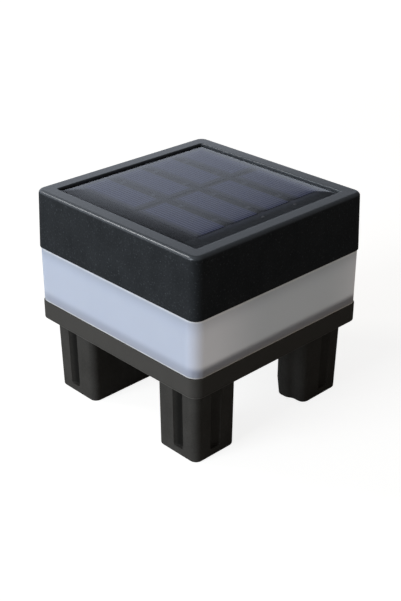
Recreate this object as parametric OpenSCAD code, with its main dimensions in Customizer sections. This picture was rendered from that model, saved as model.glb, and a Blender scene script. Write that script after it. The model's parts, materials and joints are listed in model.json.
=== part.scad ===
// Square solar light that caps a hollow post, seen as an assembly of its separate pieces.
// Millimetres. The origin is under the middle of the light, level with the ends of the legs.

/* [Overall] */
// Outside width of the cover and of the base rim
body_width = 70; // [60:0.5:90]
// Height from the ends of the legs to the top of the cover
total_height = 67; // [55:0.5:90]
// Height of the legs below the base rim
leg_height = 25; // [20:0.5:40]
// Height of the band round the base
rim_height = 5.6; // [4:0.1:10]
// Height of the cover's outside walls
cover_height = 18.5; // [14:0.5:26]
// Corner radius of the base rim
rim_corner_r = 3.2; // [2:0.1:6]

/* [Cover] */
// Corner radius of the cover
cover_corner_r = 3; // [2:0.1:6]
// Rounding of the cover's top edge
cover_edge_r = 1.2; // [0.4:0.1:2]
// How far each side of the cover leans in towards the top
cover_draft = 0.5; // [0:0.1:1.5]
// Width of the frame round the recess that holds the solar panel
frame_width = 5.3; // [3:0.1:8]
// Depth of the recess below the top of the cover
recess_depth = 2.9; // [2:0.1:5]
// Thickness of the recess floor
recess_floor = 2.2; // [1.2:0.1:4]
// Thickness of the cover's walls at the open end
skirt_wall = 1.8; // [1.2:0.1:2.4]
// Height of the thin part of the walls
skirt_height = 3.2; // [2:0.1:5]
// Thickness of the cover's walls above the thin part
cover_wall = 3.6; // [2.4:0.1:5]
// Height of the straight land at the cover's open edge
skirt_land = 0.6; // [0.2:0.1:2]
// Radius of the round posts inside the cover
cover_post_r = 3; // [2.4:0.1:3.4]
// Gap left under those posts
cover_post_gap = 0.3; // [0.1:0.1:1]
// Depth of the screw holes in those posts
cover_post_hole = 10.5; // [8:0.5:16]

/* [Solar panel] */
// Set-in of the adhesive ring under the panel
seal_inset = 0.45; // [0.2:0.05:2]
// Width of that ring on each side
seal_width = 3.3; // [1.5:0.1:6]
// Thickness of the adhesive ring
seal_thickness = 0.5; // [0.2:0.1:1]
// Gap round the panel in its recess
panel_gap = 0.45; // [0.2:0.05:1]
// Thickness of the panel's backing board
panel_board = 0.8; // [0.4:0.1:1.6]
// Corner radius of the panel
panel_corner_r = 0.8; // [0.3:0.1:3]
// Thickness of the resin above the backing board
resin_thickness = 1.6; // [0.8:0.1:3]
// Height of the resin's straight edge
resin_edge = 0.5; // [0.2:0.1:1]
// Set-in of the resin's surface where its edge starts to curve
resin_shoulder = 1.2; // [0.4:0.1:3]
// Set-in of the flatter middle of the resin's surface
resin_crown = 7; // [3:0.5:15]
// Heights of the resin's curve as shares of its thickness
resin_height_shares = [0.62, 0.85, 1];
// Margin beside the strips on the panel's right and front sides
near_margin = 7.1; // [2:0.1:10]
// Margin beside the strips on the panel's left and back sides
far_margin = 0.8; // [0.5:0.1:10]
// Thickness of a cell strip
cell_thickness = 0.2; // [0.1:0.05:0.4]
// Gap between the two columns of strips
column_gap = 1.4; // [0.5:0.1:3]
// Gap between neighbouring rows of strips
row_gap = 2.2; // [0.5:0.1:4]
// Width of the metal ribbon between neighbouring strips
ribbon_width = 1.6; // [0.6:0.1:3]
// Distance of the ribbon from the middle of a strip
ribbon_place = 7; // [2:0.5:10]
// Thickness of the ribbon
ribbon_thickness = 0.1; // [0.05:0.05:0.3]
// Radius of the solder spots on the panel's margin
spot_r = 0.5; // [0.3:0.1:1]
// Distance of the solder spots from the panel's right edge
spot_inset = 4.6; // [1:0.1:6.5]
// Places of the two solder spots along the margin
spot_rows = [1.4, 14.9];

/* [Diffuser] */
// Set-back of the diffuser from the faces of the rim
diffuser_setback = 0.1; // [0:0.05:1]
// Corner radius of the diffuser
diffuser_corner_r = 3.6; // [2:0.1:6]
// Thickness of the diffuser's walls
diffuser_wall = 3.1; // [2.4:0.1:5]
// Gap between the diffuser's lips and the walls around them
lip_clearance = 0.2; // [0.1:0.05:0.5]
// Height of the upper lip
upper_lip = 2; // [1:0.1:4]
// Height of the lower lip
lower_lip = 1.7; // [1:0.1:3]

/* [Base] */
// Rounding of the rim's lower edge
rim_edge_r = 0.8; // [0.3:0.1:2]
// Thickness of the base plate
plate_thickness = 2.5; // [1.6:0.1:3.5]
// Set-in of the legs from the rim's faces, at the rim
leg_inset = 2.75; // [1:0.05:8]
// How much further in the legs are at their ends
leg_draft = 0.85; // [0:0.05:1.5]
// Width of a leg
leg_width = 18.1; // [15:0.1:22]
// Corner radius of the legs
leg_corner_r = 2.3; // [1:0.1:5]
// Length of the slanted cut on the inner corner of each leg, along a side
leg_cut = 8.6; // [4:0.1:10]
// Radius at the ends of the slanted cut and at the step
leg_cut_r = 1.4; // [0.5:0.1:3]
// Depth of the step on the inner faces of the legs, next to their outer faces
leg_step = 1.1; // [0:0.1:2]
// Distance of that step from the outer faces
leg_step_inset = 5.95; // [5:0.05:9]
// Wall thickness of the legs
leg_wall = 1.7; // [1:0.1:3]
// Radius of the upright grooves on the legs
groove_r = 1.4; // [0.5:0.1:3]
// Depth of the grooves at the rim
groove_depth = 1.1; // [0.2:0.1:1.3]
// Height of the closed end of the grooves
groove_end = 2.4; // [0:0.1:10]
// Distance of the grooves from the outer faces of the legs
groove_inset = 8.5; // [6:0.1:12]

/* [Battery bay] */
// Width of the ledge that the battery cover rests on
bay_ledge = 0.7; // [0.4:0.1:1.5]
// Thickness of the battery cover
lid_thickness = 1.5; // [1:0.1:2.5]
// Gap round the battery cover
lid_clearance = 0.25; // [0.1:0.05:0.5]
// Set-back of the battery cover from the ends of the legs
lid_setback = 0.3; // [0:0.1:1]
// Radius of the battery
battery_r = 5.2; // [4:0.05:7]
// Room for the spring between its plate and the battery
spring_room = 3.1; // [2:0.1:8]
// Thickness of the battery's printed sleeve
sleeve_thickness = 0.15; // [0.05:0.05:0.3]
// Length of the sleeve's fold over the ends
sleeve_fold = 0.4; // [0.1:0.1:1]
// Radius of the battery's button
button_r = 1.9; // [1:0.1:3]
// Height of the battery's button
button_height = 0.9; // [0.5:0.1:1.5]
// Thickness of the foam strip under the battery
pad_thickness = 0.9; // [0.5:0.1:2]
// Length of the foam strip
pad_length = 30; // [10:1:40]
// Width of the foam strip
pad_width = 8; // [4:0.5:12]
// Thickness of the ribs that hold the battery
saddle_thickness = 1.4; // [1:0.1:2.5]
// Distance of those ribs from the middle of the bay
saddle_place = 13; // [5:0.5:18]
// Gap between the battery and those ribs
saddle_clearance = 0.2; // [0.1:0.05:0.5]
// Thickness of the contact plates
contact_thickness = 0.4; // [0.2:0.05:0.8]
// Width of the contact plates
contact_width = 9; // [6:0.5:12]
// Height of the lower edge of the contact plates
contact_low = 3.4; // [2:0.1:5]
// Height of the contact plates
contact_height = 10; // [6:0.5:14]
// Width of the tabs on the contact plates
tab_width = 2.4; // [1:0.1:4]
// Height of the tabs on the contact plates
tab_height = 4.5; // [2:0.5:8]
// Thickness of the end ribs behind the contact plates
end_rib = 1.2; // [0.8:0.1:2]
// Height of the top of the end ribs
end_rib_top = 17; // [10:0.5:17.5]
// Radius of the wire of the contact spring
spring_wire_r = 0.35; // [0.2:0.05:0.6]
// Radius of the spring at the contact plate
spring_r = 3.6; // [2:0.1:4.5]
// Radius of the spring at the battery
spring_tip_r = 1.9; // [1:0.1:3]
// Number of turns of the spring
spring_turns = 3; // [2:0.5:6]
// Distance of the contact plates from the ends of the bay
contact_inset = 5.95; // [5.8:0.05:10]

/* [Switch] */
// Distance of the switch from the middle of the base, to the right
switch_x = 4; // [-6:0.5:8]
// Distance of the switch from the line of the front wire hole, towards the middle
switch_inset = 3; // [2:0.5:8]
// Length of the switch's metal case
switch_length = 10.4; // [8:0.1:14]
// Width of the switch's metal case
switch_width = 5.2; // [4:0.1:8]
// Height of the switch's metal case
switch_height = 4.6; // [3:0.1:7]
// Wall of the metal case
switch_wall = 0.6; // [0.3:0.1:1]
// Length of the mounting plate with its two ears
ear_length = 19.6; // [15:0.1:26]
// Thickness of the mounting plate
ear_thickness = 0.4; // [0.2:0.1:1]
// Distance between the two ear holes
ear_pitch = 15; // [11:0.1:20]
// Height of the posts under the ears
ear_post_height = 1; // [0.5:0.1:3]
// Thickness of the insulating block on the case
block_height = 1.2; // [0.8:0.1:2]
// Distance between neighbouring terminals
terminal_pitch = 2.6; // [2:0.1:4]
// Width of a terminal
terminal_width = 1; // [0.5:0.1:2]
// Thickness of a terminal
terminal_thickness = 0.4; // [0.2:0.1:0.8]
// Height of a terminal
terminal_height = 1.8; // [1:0.1:4]
// Length of the lever's stem along its travel
stem_length = 2; // [1:0.1:4]
// Width of the lever's stem
stem_width = 1.8; // [1:0.1:3]
// How far the lever stands out below the base plate
stem_reach = 0.8; // [0:0.1:3]
// Travel of the lever
lever_travel = 2; // [1:0.1:4]
// Gap round the stem in its slots
stem_clearance = 0.3; // [0.1:0.05:0.6]
// Length of the lever's sliding foot inside the case
foot_length = 5; // [3:0.1:7]
// Thickness of the sliding foot
foot_thickness = 1.8; // [1:0.1:3]
// Gap round the sliding foot
foot_clearance = 0.1; // [0.05:0.05:0.4]

/* [Light board] */
// Length of the board
board_length = 40; // [30:0.5:50]
// Width of the board
board_width = 26; // [18:0.5:36]
// Thickness of the board
board_thickness = 1.2; // [0.8:0.1:2]
// Distance of the board from the middle, towards the back
board_y = 8; // [4:0.5:14]
// Height of the posts under the board
board_post_height = 5.5; // [3:0.5:8]
// Radius of the posts
board_post_r = 2.6; // [1.8:0.1:4]
// Set-in of the posts from the board's edges
board_post_inset = 3; // [2.6:0.1:6]
// Radius of a lamp
lamp_r = 2.5; // [1.5:0.1:4]
// Height of a lamp
lamp_height = 8.6; // [5:0.1:12]
// Radius of the flange at a lamp's foot
lamp_flange_r = 2.9; // [1.8:0.1:5]
// Thickness of that flange
lamp_flange = 1; // [0.5:0.1:2]
// Distance of the lamps from the middle of the board, along it
lamp_x = 11; // [5:0.5:15]
// Distance of the lamps from the middle of the board, across it
lamp_y = 7; // [4:0.5:9]
// Radius of a lamp's wires
lamp_lead_r = 0.25; // [0.15:0.05:0.4]
// Distance between a lamp's wires
lamp_lead_pitch = 2.54; // [1.5:0.01:4]
// Length of a lamp's wires below the board
lamp_lead_end = 1; // [0.5:0.1:2]
// Length of the driver chip
chip_length = 5; // [3:0.1:8]
// Width of the driver chip
chip_width = 3.9; // [2:0.1:6]
// Height of the driver chip
chip_height = 1.5; // [1:0.1:3]
// Length of the coil
coil_length = 8; // [4:0.1:12]
// Radius of the coil
coil_r = 1.4; // [0.8:0.1:1.6]
// Radius of the coil's wires
coil_lead_r = 0.3; // [0.2:0.05:0.5]
// Length of each of the coil's wires
coil_lead = 2; // [1:0.1:4]
// Side of the small square capacitor
capacitor_side = 3; // [1.5:0.1:5]
// Height of the capacitor
capacitor_height = 2; // [1:0.1:3]

/* [Reflector] */
// Gap between the reflector plate and the diffuser
reflector_gap = 0.5; // [0.2:0.1:2]
// Thickness of the reflector plate
reflector_thickness = 1.2; // [0.8:0.1:2]
// Height of the pillars under the reflector plate
pillar_height = 10; // [8:0.5:14]
// Radius of those pillars
pillar_r = 1.8; // [1:0.1:3]
// Set-in of the pillars from the reflector plate's edges
pillar_inset = 2.7; // [2:0.1:5]
// Gap round what passes through the reflector plate
reflector_clearance = 0.4; // [0.2:0.05:1]

/* [Fasteners] */
// Gap between the heads of the assembly screws and the walls of the legs
screw_inset = 0.1; // [0.1:0.1:3]
// Radius of the assembly screws' shanks
screw_r = 1.25; // [0.8:0.05:2]
// Radius of the assembly screws' heads
screw_head_r = 2.35; // [1.6:0.05:3]
// Height of the assembly screws' heads
screw_head = 1.7; // [1:0.1:3]
// Length of the assembly screws
screw_length = 12; // [8:0.5:16]
// Radius of the small screws' shanks
small_r = 0.9; // [0.6:0.05:1.2]
// Radius of the small screws' heads
small_head_r = 1.8; // [1.2:0.05:2.5]
// Height of the small screws' heads
small_head = 1.2; // [0.8:0.1:2]
// Length of the board's screws
small_length = 4.5; // [3:0.5:8]
// Length of the switch's screws
ear_screw_length = 2.8; // [2:0.1:3.4]
// Length of the battery cover's screws
lid_screw_length = 7; // [4:0.5:12]
// Distance of the battery cover's screws from the ends of the bay
lid_screw_inset = 2.3; // [2:0.1:4]
// Distance of the battery cover's screws from the middle of the bay, across it
lid_screw_x = 4.6; // [0:0.1:5]
// Radius of the posts for the battery cover's screws
lid_post_r = 2.6; // [1.6:0.1:3]
// Gap round a screw in the hole that it cuts its thread in
thread_clearance = 0.05; // [0.01:0.01:0.1]
// Gap round a screw in a plain hole
hole_clearance = 0.25; // [0.1:0.05:0.5]
// Width of the slots in a screw's head
cross_width = 0.6; // [0.3:0.05:1]
// Depth of those slots as a share of the head's height
cross_shares = [0.6];

/* [Wires] */
// Radius of the wires
wire_r = 0.55; // [0.3:0.05:1]
// Radius of the holes for single wires
wire_hole_r = 1.1; // [0.6:0.1:2]
// Distance of the panel's wires from the middle, along the board
panel_wire_x = 4; // [-6:0.5:6]
// Distance between the panel's two wires
panel_wire_pitch = 2.6; // [2:0.1:4]
// Radius of the holes for the panel's wires
panel_hole_r = 2.4; // [1.6:0.1:4]
// How far the panel's wires bow out between the cover and the reflector plate
panel_wire_bow = 2.5; // [0:0.5:6]
// Distance of the bay's wire holes from the contact plates, along the bay
bay_hole_inset = 3.8; // [2:0.1:8]
// Height of the wires above the base plate
wire_lift = 0.8; // [0.6:0.1:2]

/* [Hidden] */
// Facets of the rounded corners, and of round holes and shafts
corner_facets = 32;
round_facets = 64;
// Steps in a turn of the spring, and sides of its wire
spring_steps = 32;
wire_sides = 12;
// Heights of the main faces
rim_top = leg_height + rim_height;
plate_top = leg_height + plate_thickness;
cover_bottom = total_height - cover_height;
recess_bottom = total_height - recess_depth;
board_bottom = plate_top + board_post_height;
board_top = board_bottom + board_thickness;
reflector_bottom = plate_top + pillar_height;
panel_bottom = recess_bottom + seal_thickness;
panel_face = panel_bottom + panel_board;
ear_bottom = plate_top + ear_post_height;
case_bottom = ear_bottom + ear_thickness;
case_top = case_bottom + switch_height;
// Half widths
half_body = body_width / 2;
half_rim_cavity = half_body - skirt_wall;
half_inside = half_body - diffuser_setback - diffuser_wall;
half_lip = half_rim_cavity - lip_clearance;
half_legs_top = half_body - leg_inset;
half_legs_end = half_legs_top - leg_draft;
half_gap = half_legs_top - leg_width;
leg_room = half_legs_end - half_gap - 2 * leg_wall;
half_recess = half_body - frame_width;
half_panel = half_recess - panel_gap;
half_seal = half_panel - seal_inset;
half_reflector = half_inside - reflector_gap;
// Places that follow from the widths
screw_place = half_legs_end - leg_wall - screw_head_r - screw_inset;
pillar_place = half_reflector - pillar_inset;
groove_place = half_legs_top - groove_inset;
step_place = half_legs_top - leg_step_inset;
// The cell strips
cell_length = half_panel - (near_margin + far_margin + column_gap) / 2;
cell_width = (2 * half_panel - near_margin - far_margin - 3 * row_gap) / 4;
cell_offset = (near_margin - far_margin) / 2;
// The bay
bay_width = leg_room;
bay_x = -(half_gap + leg_wall + bay_width / 2);
bay_length = 2 * (half_legs_end - leg_wall);
contact_place = bay_length / 2 - contact_inset;
battery_length = 2 * contact_place - button_height - spring_room;
bay_hole_y = contact_place - bay_hole_inset;
lid_screw_y = bay_length / 2 - lid_screw_inset;
switch_y = bay_hole_y - switch_inset;
lid_bottom = lid_setback;
lid_top = lid_setback + lid_thickness;
battery_z = lid_top + pad_thickness + battery_r;
battery_foot = button_height - contact_place;
rib_place = contact_place + contact_thickness + end_rib / 2;
// A small overrun for cuts, and a thin level for tapered outlines
over = 1;
leaf = 0.4;

// Four copies, one at each corner of a square
module corners(half) {
    for (sx = [-1, 1], sy = [-1, 1])
        translate([sx * half, sy * half, 0])
            children();
}

// Upright square block with round corners
module block(half, r, low, high) {
    hull()
        corners(half - r)
            translate([0, 0, low])
                cylinder(r = r, h = high - low, $fn = corner_facets);
}

// Ring that rounds a block's edge
module edge_ring(r, edge) {
    rotate_extrude($fn = corner_facets)
        translate([r - edge, 0])
            circle(r = edge, $fn = corner_facets);
}

// Box centred on x and y, standing on the height low
module bar(size_x, size_y, low, high) {
    translate([-size_x / 2, -size_y / 2, low])
        cube([size_x, size_y, high - low]);
}

// Round bar along z
module rod(r, low, high) {
    translate([0, 0, low])
        cylinder(r = r, h = high - low, $fn = round_facets);
}

// Cross-headed screw, head below, shank up from the height zero
module screw(r, head_r, head, length) {
    difference() {
        union() {
            rod(r, 0, length);
            rod(head_r, -head, 0);
        }
        for (turn = [0, 90])
            rotate([0, 0, turn])
                bar(2 * head_r * cross_shares[0], cross_width, -head - over, -head * (1 - cross_shares[0]));
    }
}

// Direction from one point towards another
function aim(from, to) = (to - from) / norm(to - from);

// Round wire through a list of points, flat at both ends
module wire(points) {
    last = len(points) - 1;
    side = [-1, 2, -1];
    rings = [for (i = [0 : last]) let (
                into = i > 0 ? aim(points[i - 1], points[i]) : [0, 0, 0],
                away = i < last ? aim(points[i], points[i + 1]) : [0, 0, 0],
                way = aim([0, 0, 0], into + away),
                across = aim([0, 0, 0], cross(side, way)),
                up = cross(way, across))
        [for (k = [0 : wire_sides - 1]) points[i]
            + wire_r * cos(360 * k / wire_sides) * across + wire_r * sin(360 * k / wire_sides) * up]];
    tube(rings);
}

// Closed tube over a list of rings
module tube(rings) {
    last = (len(rings) - 1) * wire_sides;
    polyhedron([for (ring = rings) for (spot = ring) spot],
        concat([[for (k = [0 : wire_sides - 1]) k]],
            [for (i = [0 : len(rings) - 2]) for (k = [0 : wire_sides - 1])
                let (next = (k + 1) % wire_sides, low = i * wire_sides, high = low + wire_sides)
                each [[low + k, high + next, low + next], [low + k, high + k, high + next]]],
            [[for (k = [0 : wire_sides - 1]) last + wire_sides - 1 - k]]));
}

// Round ends of the slanted cut on a leg's inner corner
module leg_cut_level(gap, low) {
    for (spot = [[gap + leg_cut_r, half_gap + leg_cut], [half_gap + leg_cut, gap + leg_cut_r]])
        translate([spot[0], spot[1], low])
            cylinder(r = leg_cut_r, h = leaf, $fn = corner_facets);
}

// Level of a leg's outline next to its outer corner, reaching out to half the width across the legs
module leg_outer_level(out, low) {
    far = out - leg_corner_r;
    near = half_gap + leg_step + leg_corner_r;
    leg_cut_level(half_gap + leg_step, low);
    for (spot = [[far, far], [near, far], [far, near]])
        translate([spot[0], spot[1], low])
            cylinder(r = leg_corner_r, h = leaf, $fn = corner_facets);
}

// Level of a leg's outline next to its inner corner, up to the step
module leg_inner_level(out, low) {
    far = out - leg_corner_r;
    leg_cut_level(half_gap, low);
    for (spot = [[far, far], [half_gap + leg_cut_r, step_place - leg_cut_r],
                 [step_place - leg_cut_r, half_gap + leg_cut_r]])
        translate([spot[0], spot[1], low])
            cylinder(r = leg_cut_r, h = leaf, $fn = corner_facets);
}

// Two legs on the right, each with its step and slanted inner corner
module right_legs() {
    for (flip = [0, 1])
        mirror([0, flip, 0]) {
            hull() {
                leg_outer_level(half_legs_end, 0);
                leg_outer_level(half_legs_top, leg_height);
            }
            hull() {
                leg_inner_level(half_legs_end, 0);
                leg_inner_level(half_legs_top, leg_height);
            }
        }
}

// Hollow inside one leg, with the slanted inner corner
module leg_hollow() {
    inner = half_gap + leg_step + leg_wall;
    side = half_legs_end - leg_wall - inner;
    cut = leg_cut - 2 * leg_step;
    difference() {
        translate([inner, inner, -over])
            cube([side, side, leg_height + over]);
        translate([inner, inner, 0])
            rotate([0, 0, 45])
                bar(sqrt(2) * cut, 2 * sqrt(2) * cut, -2 * over, leg_height + over);
    }
}

// Level of the battery bay's outline
module bay_level(out, low) {
    for (sy = [-1, 1], x = [-out + leg_corner_r, -half_gap - leg_corner_r])
        translate([x, sy * (out - leg_corner_r), low])
            cylinder(r = leg_corner_r, h = leaf, $fn = corner_facets);
}

module bay_place() {
    translate([bay_x, 0, 0])
        children();
}

// Places of the assembly screws, of the board's posts and of the small screws
module board_posts() {
    for (sx = [-1, 1], sy = [-1, 1])
        translate([sx * (board_length / 2 - board_post_inset),
                   board_y + sy * (board_width / 2 - board_post_inset), 0])
            children();
}

module ear_posts() {
    for (sx = [-1, 1])
        translate([switch_x + sx * ear_pitch / 2, -switch_y, 0])
            children();
}

module lid_posts() {
    for (sy = [-1, 1])
        translate([lid_screw_x, sy * lid_screw_y, 0])
            children();
}

module pillars() {
    for (turn = [0, 90, 180, 270])
        rotate([0, 0, turn])
            translate([pillar_place, 0, 0])
                children();
}

// Grooves that follow the lean of the legs' outer faces
module grooves() {
    for (turn = [0, 90, 180, 270], side = [-1, 1])
        rotate([0, 0, turn])
            translate([side * groove_place, -half_legs_top - groove_r + groove_depth, leg_height])
                rotate([atan(leg_draft / leg_height), 0, 0])
                    rod(groove_r, groove_end - leg_height, over);
}

// Base with its rim, plate, legs and battery bay
module base_housing() {
    color([0.05, 0.05, 0.05])
    difference() {
        union() {
            difference() {
                hull() {
                    translate([0, 0, leg_height + rim_edge_r])
                        corners(half_body - rim_corner_r)
                            edge_ring(rim_corner_r, rim_edge_r);
                    corners(half_body - rim_corner_r)
                        translate([0, 0, rim_top - leaf])
                            cylinder(r = rim_corner_r, h = leaf, $fn = corner_facets);
                }
                block(half_rim_cavity, rim_corner_r - skirt_wall, plate_top, rim_top + over);
            }
            difference() {
                union() {
                    right_legs();
                    hull() {
                        bay_level(half_legs_end, 0);
                        bay_level(half_legs_top, leg_height);
                    }
                }
                grooves();
            }
            board_posts()
                rod(board_post_r, leg_height + leaf, board_bottom);
            ear_posts()
                rod(board_post_r, leg_height + leaf, ear_bottom);
            pillars()
                rod(pillar_r, leg_height + leaf, reflector_bottom);
        }
        for (flip = [0, 1])
            mirror([0, flip, 0])
                leg_hollow();
        difference() {
            bay_place()
                bar(bay_width, bay_length, -over, leg_height);
            bay_place() {
                lid_posts()
                    rod(lid_post_r, lid_top, leg_height + leaf);
                for (sy = [-1, 1])
                    translate([0, sy * saddle_place, 0])
                        difference() {
                            bar(bay_width + over, saddle_thickness, battery_z, leg_height + leaf);
                            translate([0, 0, battery_z])
                                rotate([90, 0, 0])
                                    translate([0, 0, -saddle_thickness])
                                        rod(battery_r + saddle_clearance, 0, 2 * saddle_thickness);
                        }
                for (place = [-rib_place, rib_place])
                    translate([0, place, 0])
                        bar(bay_width + over, end_rib, lid_top, end_rib_top);
            }
        }
        bay_place()
            bar(bay_width + 2 * bay_ledge, bay_length + 2 * bay_ledge, -over, lid_top);
        corners(screw_place)
            rod(screw_r + hole_clearance, leg_height - over, plate_top + over);
        board_posts()
            rod(small_r + thread_clearance, board_top - small_length - leaf, board_bottom + over);
        ear_posts()
            rod(small_r + thread_clearance, case_bottom - ear_screw_length - hole_clearance,
                ear_bottom + over);
        bay_place()
            lid_posts()
                rod(small_r + thread_clearance, lid_bottom, lid_top + lid_screw_length);
        bay_place()
            for (sy = [-1, 1])
                translate([0, sy * bay_hole_y, 0])
                    rod(wire_hole_r, leg_height - over, plate_top + over);
        translate([switch_x, -switch_y, 0])
            bar(stem_length + lever_travel + 2 * stem_clearance, stem_width + 2 * stem_clearance,
                leg_height - over, plate_top + over);
    }
}

// Frosted band between the cover and the rim, with a lip at each end
module diffuser() {
    color([0.75, 0.78, 0.82, 0.8])
    difference() {
        union() {
            block(half_body - diffuser_setback, diffuser_corner_r, rim_top, cover_bottom);
            block(half_lip, diffuser_corner_r - skirt_wall, rim_top - lower_lip, cover_bottom + upper_lip);
        }
        block(half_inside, diffuser_corner_r - skirt_wall - lip_clearance,
            rim_top - lower_lip - over, cover_bottom + upper_lip + over);
    }
}

module gasket(low, high) {
    color([0.75, 0.75, 0.72])
    difference() {
        block(half_lip, diffuser_corner_r - skirt_wall, low, high);
        block(half_inside, diffuser_corner_r - skirt_wall - lip_clearance, low - over, high + over);
    }
}

// Soft ring under the diffuser's lower lip
module lower_gasket() {
    gasket(plate_top, rim_top - lower_lip);
}

// Soft ring over the diffuser's upper lip
module upper_gasket() {
    gasket(cover_bottom + upper_lip, cover_bottom + skirt_height);
}

// Black cover with the panel's recess and four screw posts
module top_cover() {
    color([0.08, 0.08, 0.08])
    difference() {
        union() {
            difference() {
                hull() {
                    corners(half_body - cover_corner_r)
                        translate([0, 0, cover_bottom])
                            cylinder(r = cover_corner_r, h = skirt_land, $fn = corner_facets);
                    translate([0, 0, total_height - cover_edge_r])
                        corners(half_body - cover_draft - cover_corner_r)
                            edge_ring(cover_corner_r, cover_edge_r);
                }
                block(half_rim_cavity, cover_corner_r - skirt_wall,
                    cover_bottom - over, cover_bottom + skirt_height);
                block(half_body - cover_wall, cover_corner_r - skirt_wall,
                    cover_bottom, recess_bottom - recess_floor);
                bar(2 * half_recess, 2 * half_recess, recess_bottom, total_height + over);
            }
            corners(screw_place)
                rod(cover_post_r, plate_top + cover_post_gap, recess_bottom - recess_floor + leaf);
        }
        corners(screw_place)
            rod(screw_r + thread_clearance, plate_top, plate_top + cover_post_gap + cover_post_hole);
        translate([panel_wire_x, board_y, 0])
            rod(panel_hole_r, recess_bottom - recess_floor - over, recess_bottom + over);
    }
}

// Adhesive ring that seals the panel in its recess
module panel_seal() {
    color([0.1, 0.1, 0.1])
    difference() {
        bar(2 * half_seal, 2 * half_seal, recess_bottom, panel_bottom);
        bar(2 * (half_seal - seal_width), 2 * (half_seal - seal_width),
            recess_bottom - over, panel_bottom + over);
    }
}

// Backing board of the solar panel
module solar_board() {
    color([0.12, 0.14, 0.16])
    block(half_panel, panel_corner_r, panel_bottom, panel_face);
}

// Place of each cell strip
module strips() {
    for (column = [-1, 1], row = [-1.5, -0.5, 0.5, 1.5])
        translate([-cell_offset + column * (cell_length + column_gap) / 2,
                   cell_offset + row * (cell_width + row_gap), 0])
            children();
}

// Two columns of four cell strips
module solar_cells() {
    color([0.12, 0.15, 0.32])
    strips()
        bar(cell_length, cell_width, panel_face, panel_face + cell_thickness);
}

// Metal ribbons that join neighbouring strips
module cell_ribbons() {
    color([0.7, 0.7, 0.7])
    for (column = [-1, 1], row = [-1, 0, 1], side = [-1, 1])
        translate([-cell_offset + column * (cell_length + column_gap) / 2 + side * ribbon_place,
                   cell_offset + row * (cell_width + row_gap), 0])
            bar(ribbon_width, row_gap, panel_face, panel_face + ribbon_thickness);
}

// Two solder spots on the panel's margin
module solder_spots() {
    color([0.8, 0.8, 0.8])
    for (y = spot_rows)
        translate([half_panel - spot_inset, y, 0])
            rod(spot_r, panel_face, panel_face + cell_thickness);
}

// Clear resin poured over the cells, a little domed
module panel_resin() {
    color([0.8, 0.85, 0.9, 0.5])
    difference() {
        hull() {
            block(half_panel, panel_corner_r, panel_face, panel_face + resin_edge);
            block(half_panel - resin_shoulder / 2, panel_corner_r, panel_face,
                panel_face + resin_thickness * resin_height_shares[0]);
            block(half_panel - resin_shoulder, panel_corner_r, panel_face,
                panel_face + resin_thickness * resin_height_shares[1]);
            block(half_panel - resin_crown, panel_corner_r, panel_face,
                panel_face + resin_thickness * resin_height_shares[2]);
        }
        solar_cells();
        cell_ribbons();
        solder_spots();
    }
}

// White plate that throws the light up and out
module reflector() {
    color([0.92, 0.92, 0.9])
    difference() {
        bar(2 * half_reflector, 2 * half_reflector,
            reflector_bottom, reflector_bottom + reflector_thickness);
        corners(screw_place)
            rod(cover_post_r + reflector_clearance, plate_top, total_height);
        lamp_places()
            rod(lamp_r + reflector_clearance, plate_top, total_height);
        translate([panel_wire_x, board_y, 0])
            rod(panel_hole_r, plate_top, total_height);
    }
}

module lamp_places() {
    for (sx = [-1, 1], sy = [-1, 1])
        translate([sx * lamp_x, board_y + sy * lamp_y, 0])
            children();
}

// Circuit board on the base's posts
module light_board() {
    color([0.1, 0.35, 0.2])
    difference() {
        translate([0, board_y, 0])
            bar(board_length, board_width, board_bottom, board_top);
        board_posts()
            rod(small_r + hole_clearance, board_bottom - over, board_top + over);
        lamp_places()
            for (sx = [-1, 1])
                translate([sx * lamp_lead_pitch / 2, 0, 0])
                    rod(lamp_lead_r + thread_clearance, board_bottom - over, board_top + over);
    }
}

// Clear domed lamps
module lamps() {
    color([0.9, 0.95, 1, 0.6])
    lamp_places() {
        rod(lamp_flange_r, board_top, board_top + lamp_flange);
        rod(lamp_r, board_top, board_top + lamp_height - lamp_r);
        translate([0, 0, board_top + lamp_height - lamp_r])
            sphere(r = lamp_r, $fn = round_facets);
    }
}

// Wires under the lamps, through the board
module lamp_leads() {
    color([0.75, 0.75, 0.75])
    lamp_places()
        for (sx = [-1, 1])
            translate([sx * lamp_lead_pitch / 2, 0, 0])
                rod(lamp_lead_r, board_bottom - lamp_lead_end, board_top);
}

// Chip that runs the lamps and charges the battery
module driver_chip() {
    color([0.05, 0.05, 0.05])
    translate([-lamp_x / 2, board_y - lamp_y, 0])
        bar(chip_length, chip_width, board_top, board_top + chip_height);
}

module coil_axis() {
    translate([0, board_y + lamp_y, board_top + coil_r])
        rotate([0, 90, 0])
            children();
}

// Wound coil, lying on the board
module coil() {
    color([0.1, 0.5, 0.2])
    coil_axis()
        rod(coil_r, -coil_length / 2, coil_length / 2);
}

// Wires at both ends of the coil, bent down to the board
module coil_leads() {
    color([0.75, 0.75, 0.75])
    for (side = [-1, 1]) {
        coil_axis()
            rod(coil_lead_r, side > 0 ? coil_length / 2 : -coil_length / 2 - coil_lead,
                side > 0 ? coil_length / 2 + coil_lead : -coil_length / 2);
        translate([side * (coil_length / 2 + coil_lead), board_y + lamp_y, 0]) {
            rod(coil_lead_r, board_top, board_top + coil_r);
            translate([0, 0, board_top + coil_r])
                sphere(r = coil_lead_r, $fn = corner_facets);
        }
    }
}

// Small capacitor
module capacitor() {
    color([0.6, 0.5, 0.35])
    translate([lamp_x / 2, board_y - lamp_y, 0])
        bar(capacitor_side, capacitor_side, board_top, board_top + capacitor_height);
}

module switch_place() {
    translate([switch_x, -switch_y, 0])
        children();
}

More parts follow.
